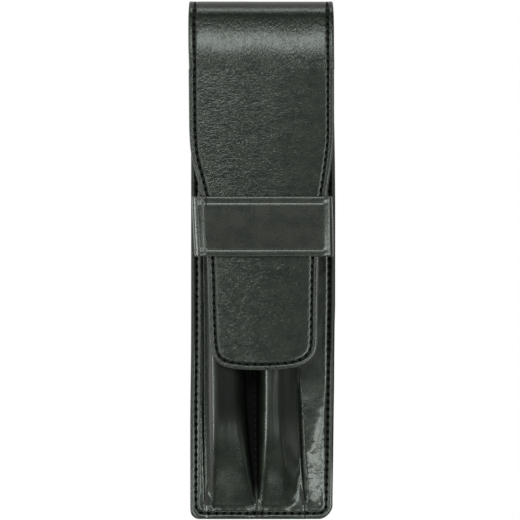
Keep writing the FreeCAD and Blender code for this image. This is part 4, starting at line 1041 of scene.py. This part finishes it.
# the pocket's mouth: a turned, creased edge
Z_m = YM - Y
Z -= 0.10 * np.exp(-((Z_m - 1.9) / 0.22) ** 2)
OUTER = np.stack([X, Y + Y0, Z], 2)


def grid_normals(G):
    du = np.gradient(G, axis=1)
    dv = np.gradient(G, axis=0)
    n = np.cross(du, dv)
    l = np.linalg.norm(n, axis=2, keepdims=True)
    return n / np.where(l < 1e-9, 1, l)


NRM = grid_normals(OUTER)
for _ in range(3):
    P_ = NRM.copy()
    P_[:, 1:-1] += NRM[:, 2:] + NRM[:, :-2]
    P_[1:-1] += NRM[2:] + NRM[:-2]
    NRM = P_ / np.linalg.norm(P_, axis=2, keepdims=True)
# close to the bottom seam and the mouth the sheet is offset straight down
upright = (1 - smooth(2.0, 6.0, Y))[..., None]
NRM = NRM * (1 - upright) + np.array([0.0, 0.0, 1.0]) * upright
NRM[..., 1] *= smooth(0.0, 4.0, YM - Y)
NRM /= np.linalg.norm(NRM, axis=2, keepdims=True)


POCKET_DARK = seam_dark(np.clip(D, 0, IN), hole) * np.maximum(on_flat * (D < 3.4), bottom * (D < 4.2))
# painted shade in the valley between the channels: its walls and floor are darkened and dulled
col_ = np.arange(NC)[None, :]
valley_painted_shade = smooth(i_left[0] + 59, i_left[0] + 67, col_) * (1 - smooth(i_right[0] + 1, i_right[0] + 9, col_))
POCKET_DARK = np.maximum(POCKET_DARK, 0.93 * valley_painted_shade * smooth(4.0, 12.0, Y))
# the cut edge is sealed and duller than the face
POCKET_DARK = np.maximum(POCKET_DARK, np.where(X > 0, 0.55, 0.35) * (1 - smooth(0.45, 1.1, D)) * smooth(10.0, 22.0, Y))
# painted shade on the channel crowns: darker and duller in a band part way up, which holds down their highlights
tone_shift = smooth(22.0, 36.0, Y) * (1 - smooth(60.0, 80.0, Y))
crown_l = smooth(i_left[0] + 34, i_left[0] + 40, col_) * (1 - smooth(i_left[0] + 60, i_left[0] + 64, col_))
crown_r = smooth(i_right[0] + 19, i_right[0] + 25, col_) * (1 - smooth(i_right[0] + 46, i_right[0] + 52, col_))
POCKET_DARK = np.maximum(POCKET_DARK, tone_shift * np.maximum(0.75 * crown_l, 0.50 * crown_r))


def sheet_piece(name, c0, c1, r0, r1, d0, d1, mats, mat_of, step=1, base=None):
    """A closed sheet between two depths under the pocket's outer face."""
    base = OUTER if base is None else base
    cols = np.unique(np.concatenate([np.arange(c0, c1, step), [c1 - 1]]))
    rows = np.unique(np.concatenate([np.arange(r0, r1, step), [r1 - 1]]))
    G, N = base[np.ix_(rows, cols)], NRM[np.ix_(rows, cols)]
    top, low = G - N * d0, G - N * d1
    low[..., 2] = np.maximum(low[..., 2], Z0 + 0.02)
    top[..., 2] = np.maximum(top[..., 2], Z0 + 0.04)
    for q in (top, low):
        q[..., 1] = np.maximum(q[..., 1], Y0 + 0.01)
        q[..., 0] = np.clip(q[..., 0], -HALF, HALF)
    n, m = len(rows), len(cols)
    V = np.concatenate([top.reshape(-1, 3), low.reshape(-1, 3)])
    U = np.concatenate([np.stack([G[..., 0], G[..., 1], G[..., 2]], 2).reshape(-1, 3)] * 2)
    a = np.arange(n * m).reshape(n, m)
    b = a + n * m
    F, M = [], []
    q = np.stack([a[:-1, :-1], a[:-1, 1:], a[1:, 1:], a[1:, :-1]], -1).reshape(-1, 4)
    F += q.tolist()
    M += [mat_of[0]] * len(q)
    q = np.stack([b[:-1, :-1], b[1:, :-1], b[1:, 1:], b[:-1, 1:]], -1).reshape(-1, 4)
    F += q.tolist()
    M += [mat_of[1]] * len(q)
    rim = [(int(x), int(y)) for x, y in zip(a[0, :-1], a[0, 1:])] + [(int(x), int(y)) for x, y in zip(a[:-1, -1], a[1:, -1])]
    rim += [(int(x), int(y)) for x, y in zip(a[-1, ::-1][:-1], a[-1, ::-1][1:])] + [(int(x), int(y)) for x, y in zip(a[::-1, 0][:-1], a[::-1, 0][1:])]
    for x, y in rim:
        F.append((x, x + n * m, y + n * m, y))
        M.append(mat_of[2])
    dark = np.concatenate([POCKET_DARK[np.ix_(rows, cols)].ravel(), np.zeros(n * m)])
    ob = make_mesh(name, V, F, mats, M, uv=U, seam=dark if d0 == 0 else None)
    return ob, rim, n * m


pocket, rim, off = sheet_piece("pocket_leather_sheet", 0, NC, 0, NR, 0.0, 0.9, [M_POCKET, M_LINING, M_EDGE], (0, 1, 2))
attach(finish_piece(pocket, "pocket_leather", "pocket_leather"), "case")
r_lo = int(np.searchsorted(PY, 4.5))
for nm, (a, b) in (("channel_lining_left", i_left), ("channel_lining_right", i_right)):
    ob, _, _ = sheet_piece(nm, a + 6, b - 4 if nm.endswith("left") else b - 6, r_lo, NR - 3, 0.93, 1.2, [M_LINING, M_LINING, M_EDGE], (0, 1, 2), step=2)
    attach(finish_piece(ob, "lining", "channel_lining"), "case")


# thread of the pocket's seams: it follows the sheet's real surface
def surface_at(x, y):
    """Height and normal of the pocket's outer face, by the nearest of its points seen from above."""
    d = (OUTER[..., 0] - x) ** 2 + (OUTER[..., 1] - Y0 - y) ** 2 - OUTER[..., 2] * 1e-3
    k = np.unravel_index(np.argmin(d), d.shape)
    return OUTER[k], NRM[k]


rows_ = []
for (x, S), (tx, tS) in zip(back_mid, back_tan):
    if S > YM - 0.6 or BAND_LO - 1.3 < S < BAND_HI + 1.3:
        continue
    p, n = surface_at(x, S)
    n = n / np.linalg.norm(n)
    n = np.array([0.25 * n[0], 0.25 * n[1], max(0.4, n[2])])
    t = np.array([tx, tS, 0.0])
    t = t - n * (t @ n) / (n @ n)
    rows_.append(((x, S + Y0, float(p[2]) + 0.10), -t, n))
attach(finish_piece(thread_mesh("pocket_seam_stitches", rows_, M_THREAD), "thread", "pocket_seam_thread"), "case")
rows_ = []
for y in np.arange(15.0, YM - 1.5, PITCH):
    x = float(np.interp(y, [0, 17, 44, 126], [-1.56, -1.95, -2.35, -2.35]))
    rows_.append(((x, y + Y0, FZ + 0.03), (0.0, 1.0, 0.0), (0.0, 0.0, 1.0)))
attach(finish_piece(thread_mesh("centre_seam_stitches", rows_, M_THREAD), "thread", "centre_seam_thread"), "case")

# ------------------------------------------------------------------ band: a strap with turned, creased edges
BL0, BL1 = bd0.y * 1000, bd1.y * 1000     # its lower and upper edges
BW = BL1 - BL0
band_rings = [0.0, 0.03, 0.10, 0.21, 0.36, 0.55, 0.85, 1.15, 1.45, 1.70, 1.86, 2.0, 2.14, 2.3, 2.6, 3.0, 3.6]
inner_n = 26
BV = np.concatenate([band_rings, np.linspace(3.6, BW - 3.6, inner_n)[1:-1], BW - np.array(band_rings[::-1])])
drop_tab = np.array([0.46, 0.30, 0.15, 0.05])
NB = len(BV)
f = BV / BW                                # 0 at the lower edge, 1 at the upper edge


def at_f(lo_, hi_):
    return lo_ + (hi_ - lo_) * f


xl = at_f(-20.75, -21.70)                  # the left bend slants
xr = at_f(22.60, 22.20)
ZT = 19.22


def bstack(*xz):
    return np.stack([np.stack([np.broadcast_to(x, (NB,)), np.broadcast_to(z, (NB,))], 1) for x, z in xz], 1)


zb = FZ + 0.02
BAND_CTRL = bstack(
    (-18.9, zb), (-19.9, zb), (xl + 0.20, zb + 0.16), (xl - 0.42, zb + 0.95), (xl - 0.68, zb + 2.8), (xl - 0.66, 9.0), (xl - 0.60, 13.4), (xl - 0.50, 16.2),
    (xl - 0.34, 17.5), (xl - 0.10, 18.02), (xl + 0.30, 18.36), (xl + 0.90, 18.70), (xl + 1.7, 18.83), (xl + 2.9, 19.02), (xl + 4.0, 19.17), (-9.5, ZT + 0.06), (-3.5, ZT + 0.05),
    (3.0, ZT + 0.05), (9.0, ZT + 0.05), (14.0, ZT), (17.4, ZT - 0.02), (19.0, 19.19), (19.9, 19.12), (20.7, 18.96), (21.4, 18.76), (xr - 0.48, 18.46), (xr - 0.12, 17.5),
    (xr, 14.0), (xr + 0.02, 9.4), (xr, zb + 2.8), (xr - 0.16, zb + 0.95), (xr - 0.75, zb + 0.16), (20.6, zb), (19.9, zb),
)


def chain_rows(controls, counts):
    global NR
    keep, NR = NR, controls.shape[0]
    out = chain(controls, counts)
    NR = keep
    return out


BSEC = chain_rows(BAND_CTRL, ([2, 2, 3, 3, 3, 4, 4, 4, 5, 5, 5, 5, 4, 4, 5, 5, 5, 5, 4, 4, 5, 5, 6, 5, 4, 4, 3, 3, 3, 2, 2, 2, 2])[:BAND_CTRL.shape[1] - 1])
MB = BSEC.shape[1]
BX, BZ = BSEC[:, :, 0], BSEC[:, :, 1]
du = np.gradient(BSEC, axis=1)
bn = np.stack([-du[:, :, 1], du[:, :, 0]], 2)
bn /= np.linalg.norm(bn, axis=2, keepdims=True)
edge_d = np.minimum(BV, BW - BV)[:, None]
round_ = 0.46 * (1 - np.sqrt(np.clip(1 - (1 - np.clip(edge_d / 0.42, 0, 1)) ** 2, 0, 1)))
crease = -0.055 * np.exp(-((edge_d - 2.1) / 0.30) ** 2) + 0.05 * np.exp(-((edge_d - 1.0) / 0.6) ** 2) + 0.02 * np.exp(-((edge_d - 2.9) / 0.6) ** 2)
swell = 0.12 * np.sin(np.clip((edge_d - 2.0) / (BW / 2 - 2.0), 0, 1) * PI / 2)
uneven = 0.016 * value_noise(BX, BV[:, None] + 0 * BX, 41, 6.0) + 0.004 * value_noise(BX, BV[:, None] + 0 * BX, 42, 2.4)
lift = (crease + swell + uneven * smooth(0.3, 2.0, edge_d)) - round_
over_ends = np.clip(1 - np.abs(np.linspace(-1, 1, MB)) ** 6, 0, 1)[None, :]
B_OUT = np.stack([BX + bn[:, :, 0] * lift * over_ends - bn[:, :, 0] * round_ * (1 - over_ends), np.repeat((BL0 + BV)[:, None], MB, 1), BZ + bn[:, :, 1] * lift * over_ends], 2)
B_NRM = np.stack([bn[:, :, 0], np.zeros((NB, MB)), bn[:, :, 1]], 2)
cum = np.concatenate([[0], np.cumsum(np.hypot(np.diff(BX[NB // 2]), np.diff(BZ[NB // 2])))])


def band_piece(name, d0, d1, shrink, mats, mat_of):
    y = B_OUT[:, :, 1]
    mid = (BL0 + BL1) / 2
    squeeze = 1 - shrink / (BW / 2)
    top, low = (B_OUT if d0 == 0 else np.stack([BX, y, BZ], 2) - B_NRM * d0).copy(), np.stack([BX, y, BZ], 2) - B_NRM * d1
    low[..., 1] = mid + (low[..., 1] - mid) * squeeze
    top[..., 1] = mid + (top[..., 1] - mid) * (1.0 if d0 == 0 else squeeze)
    # mid-depth ring rounds the cut edge
    V = np.concatenate([top.reshape(-1, 3), low.reshape(-1, 3)])
    U = np.stack([np.repeat(cum[None], NB, 0), np.repeat(BV[:, None], MB, 1), np.zeros((NB, MB))], 2).reshape(-1, 3)
    n, m = NB, MB
    a = np.arange(n * m).reshape(n, m)
    b = a + n * m
    F = np.stack([a[:-1, :-1], a[1:, :-1], a[1:, 1:], a[:-1, 1:]], -1).reshape(-1, 4)[:, ::-1].tolist()
    M = [mat_of[0]] * len(F)
    q = np.stack([b[:-1, :-1], b[:-1, 1:], b[1:, 1:], b[1:, :-1]], -1).reshape(-1, 4)[:, ::-1].tolist()
    F += q
    M += [mat_of[1]] * len(q)
    for line, rev in ((a[0], 0), (a[-1], 1), (a[:, 0], 1), (a[:, -1], 0)):
        for x, y_ in zip(line[:-1], line[1:]):
            x, y_ = int(x), int(y_)
            quad = (x, x + n * m, y_ + n * m, y_)
            F.append(quad[::-1] if rev else quad)
            M.append(mat_of[2])
    return make_mesh(name, V, F, mats, M, uv=np.concatenate([U, U + [0, 0, 1]]))


band = band_piece("band_leather_strap", 0.0, 1.0, 0.0, [M_BAND, M_EDGE], (0, 1, 1))
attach(finish_piece(band, "band_leather", "band_leather"), "case")
bandl = band_piece("band_lining_strip", 1.02, 1.4, 0.25, [M_LINING, M_EDGE], (0, 0, 1))
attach(finish_piece(bandl, "lining", "band_lining"), "case")
rows_ = []
for xx in (-19.55, 20.45):
    for y in np.arange(BL0 + 1.4, BL1 - 1.0, PITCH):
        rows_.append(((xx, y + 0.2, zb + 1.42), (0, 1, 0), (0, 0, 1)))
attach(finish_piece(thread_mesh("band_end_stitches", rows_, M_THREAD, length=1.7), "thread", "band_thread"), "case")

# ------------------------------------------------------------------ stiffener boards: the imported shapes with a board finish
def board_material(name):
    m, nt, b = nodes_of(name)
    L = nt.links.new
    tc = node(nt, "ShaderNodeTexCoord")
    n1 = node(nt, "ShaderNodeTexNoise", Scale=900.0, Detail=4.0, Roughness=0.7)
    L(tc.outputs["Object"], n1.inputs["Vector"])
    mp = node(nt, "ShaderNodeMapping")
    mp.inputs["Scale"].default_value = (2200, 140, 500)
    L(tc.outputs["Object"], mp.inputs["Vector"])
    n2 = node(nt, "ShaderNodeTexNoise", Scale=1.0, Detail=3.0, Roughness=0.6)
    L(mp.outputs[0], n2.inputs["Vector"])
    mix = node(nt, "ShaderNodeMix", data_type="RGBA")
    mix.inputs["A"].default_value = (0.10, 0.09, 0.075, 1)
    mix.inputs["B"].default_value = (0.20, 0.18, 0.15, 1)
    L(n2.outputs["Fac"], mix.inputs["Factor"])
    L(mix.outputs["Result"], b.inputs["Base Color"])
    bump = node(nt, "ShaderNodeBump", Distance=0.00004, Strength=0.6)
    L(n1.outputs["Fac"], bump.inputs["Height"])
    L(bump.outputs[0], b.inputs["Normal"])
    b.inputs["Roughness"].default_value = 0.85
    return m


M_BOARD = board_material("board_fibre")
for nm in ("back_board", "flap_board"):
    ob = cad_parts[nm]
    ob.data.materials.clear()
    ob.data.materials.append(M_BOARD)

# ------------------------------------------------------------------ floor, light, camera
FLOOR_GLOW = 0.60                          # what the white sweep under the case gives back to it
WORLD = 0.04
TINT = (0.91, 1.0, 0.93)
# soft boxes: name, direction (degrees anticlockwise from +X), degrees from overhead, distance, width, height, watts
LIGHTS = [
    ("top_soft", 98, 22, 1.15, 0.7, 0.26, 4.9),
    ("top_low", 90, 80, 1.15, 0.9, 0.3, 3.4),
    ("left_high", 212, 21, 1.15, 0.6, 0.18, 2.1),
    ("left_mid", 180, 48, 1.15, 1.0, 0.2, 1.8),
    ("left_low", 180, 72, 1.15, 1.0, 0.2, 7.5),
    ("right_high", 326, 22, 1.15, 0.5, 0.2, 2.9),
    ("right_mid", 0, 35, 1.15, 1.0, 0.12, 3.3),
    ("right_low", 0, 72, 1.15, 1.0, 0.2, 0.6),
    ("bottom_low", 270, 60, 1.15, 0.8, 0.2, 2.6),
    ("top_left", 135, 45, 1.15, 0.4, 0.25, 0.5),
]


def stage_material():
    """White sweep: plain white to the camera, dimmer in what the case reflects."""
    m = bpy.data.materials.new("white_sweep")
    m.use_nodes = True
    nt = m.node_tree
    nt.nodes.clear()
    out = nt.nodes.new("ShaderNodeOutputMaterial")
    em = nt.nodes.new("ShaderNodeEmission")
    path = nt.nodes.new("ShaderNodeLightPath")
    mix = nt.nodes.new("ShaderNodeMapRange")
    mix.inputs["To Min"].default_value = FLOOR_GLOW
    mix.inputs["To Max"].default_value = 1.0
    nt.links.new(path.outputs["Is Camera Ray"], mix.inputs["Value"])
    nt.links.new(mix.outputs[0], em.inputs["Strength"])
    nt.links.new(em.outputs[0], out.inputs[0])
    return m


me = bpy.data.meshes.new("floor")
me.from_pydata([(-2, -2, 0), (2, -2, 0), (2, 2, 0), (-2, 2, 0)], [], [(0, 1, 2, 3)])
me.materials.append(stage_material())
floor = bpy.data.objects.new("floor", me)
bpy.context.scene.collection.objects.link(floor)
floor.location.z = -0.0006

for name, azimuth, tilt, far, wide, high, watts in LIGHTS:
    li = bpy.data.lights.new(name, "AREA")
    li.shape = "RECTANGLE"
    li.size, li.size_y = wide, high
    li.energy = watts
    li.color = TINT
    a, t = math.radians(azimuth), math.radians(tilt)
    away = Vector((math.cos(a) * math.sin(t), math.sin(a) * math.sin(t), math.cos(t)))
    ob = bpy.data.objects.new(name, li)
    ob.location = away * far
    ob.rotation_mode = "QUATERNION"
    ob.rotation_quaternion = (-away).to_track_quat("-Z", "Y")
    bpy.context.scene.collection.objects.link(ob)

world = bpy.data.worlds.new("studio")
world.use_nodes = True
bg = world.node_tree.nodes["Background"]
bg.inputs[0].default_value = (1, 1, 1, 1)
bg.inputs[1].default_value = WORLD
bpy.context.scene.world = world

cam = bpy.data.cameras.new("camera")
cam.sensor_width = 36.0
cam.lens = 36.0 * 1.4 / 0.16535
cam.clip_start, cam.clip_end = 0.05, 10
co = bpy.data.objects.new("camera", cam)
co.location = (-0.00067, 0.00028, 1.4 + 0.0095)
bpy.context.scene.collection.objects.link(co)
bpy.context.scene.camera = co
bpy.context.scene.view_settings.view_transform = "Standard"
bpy.context.scene.view_settings.look = "None"
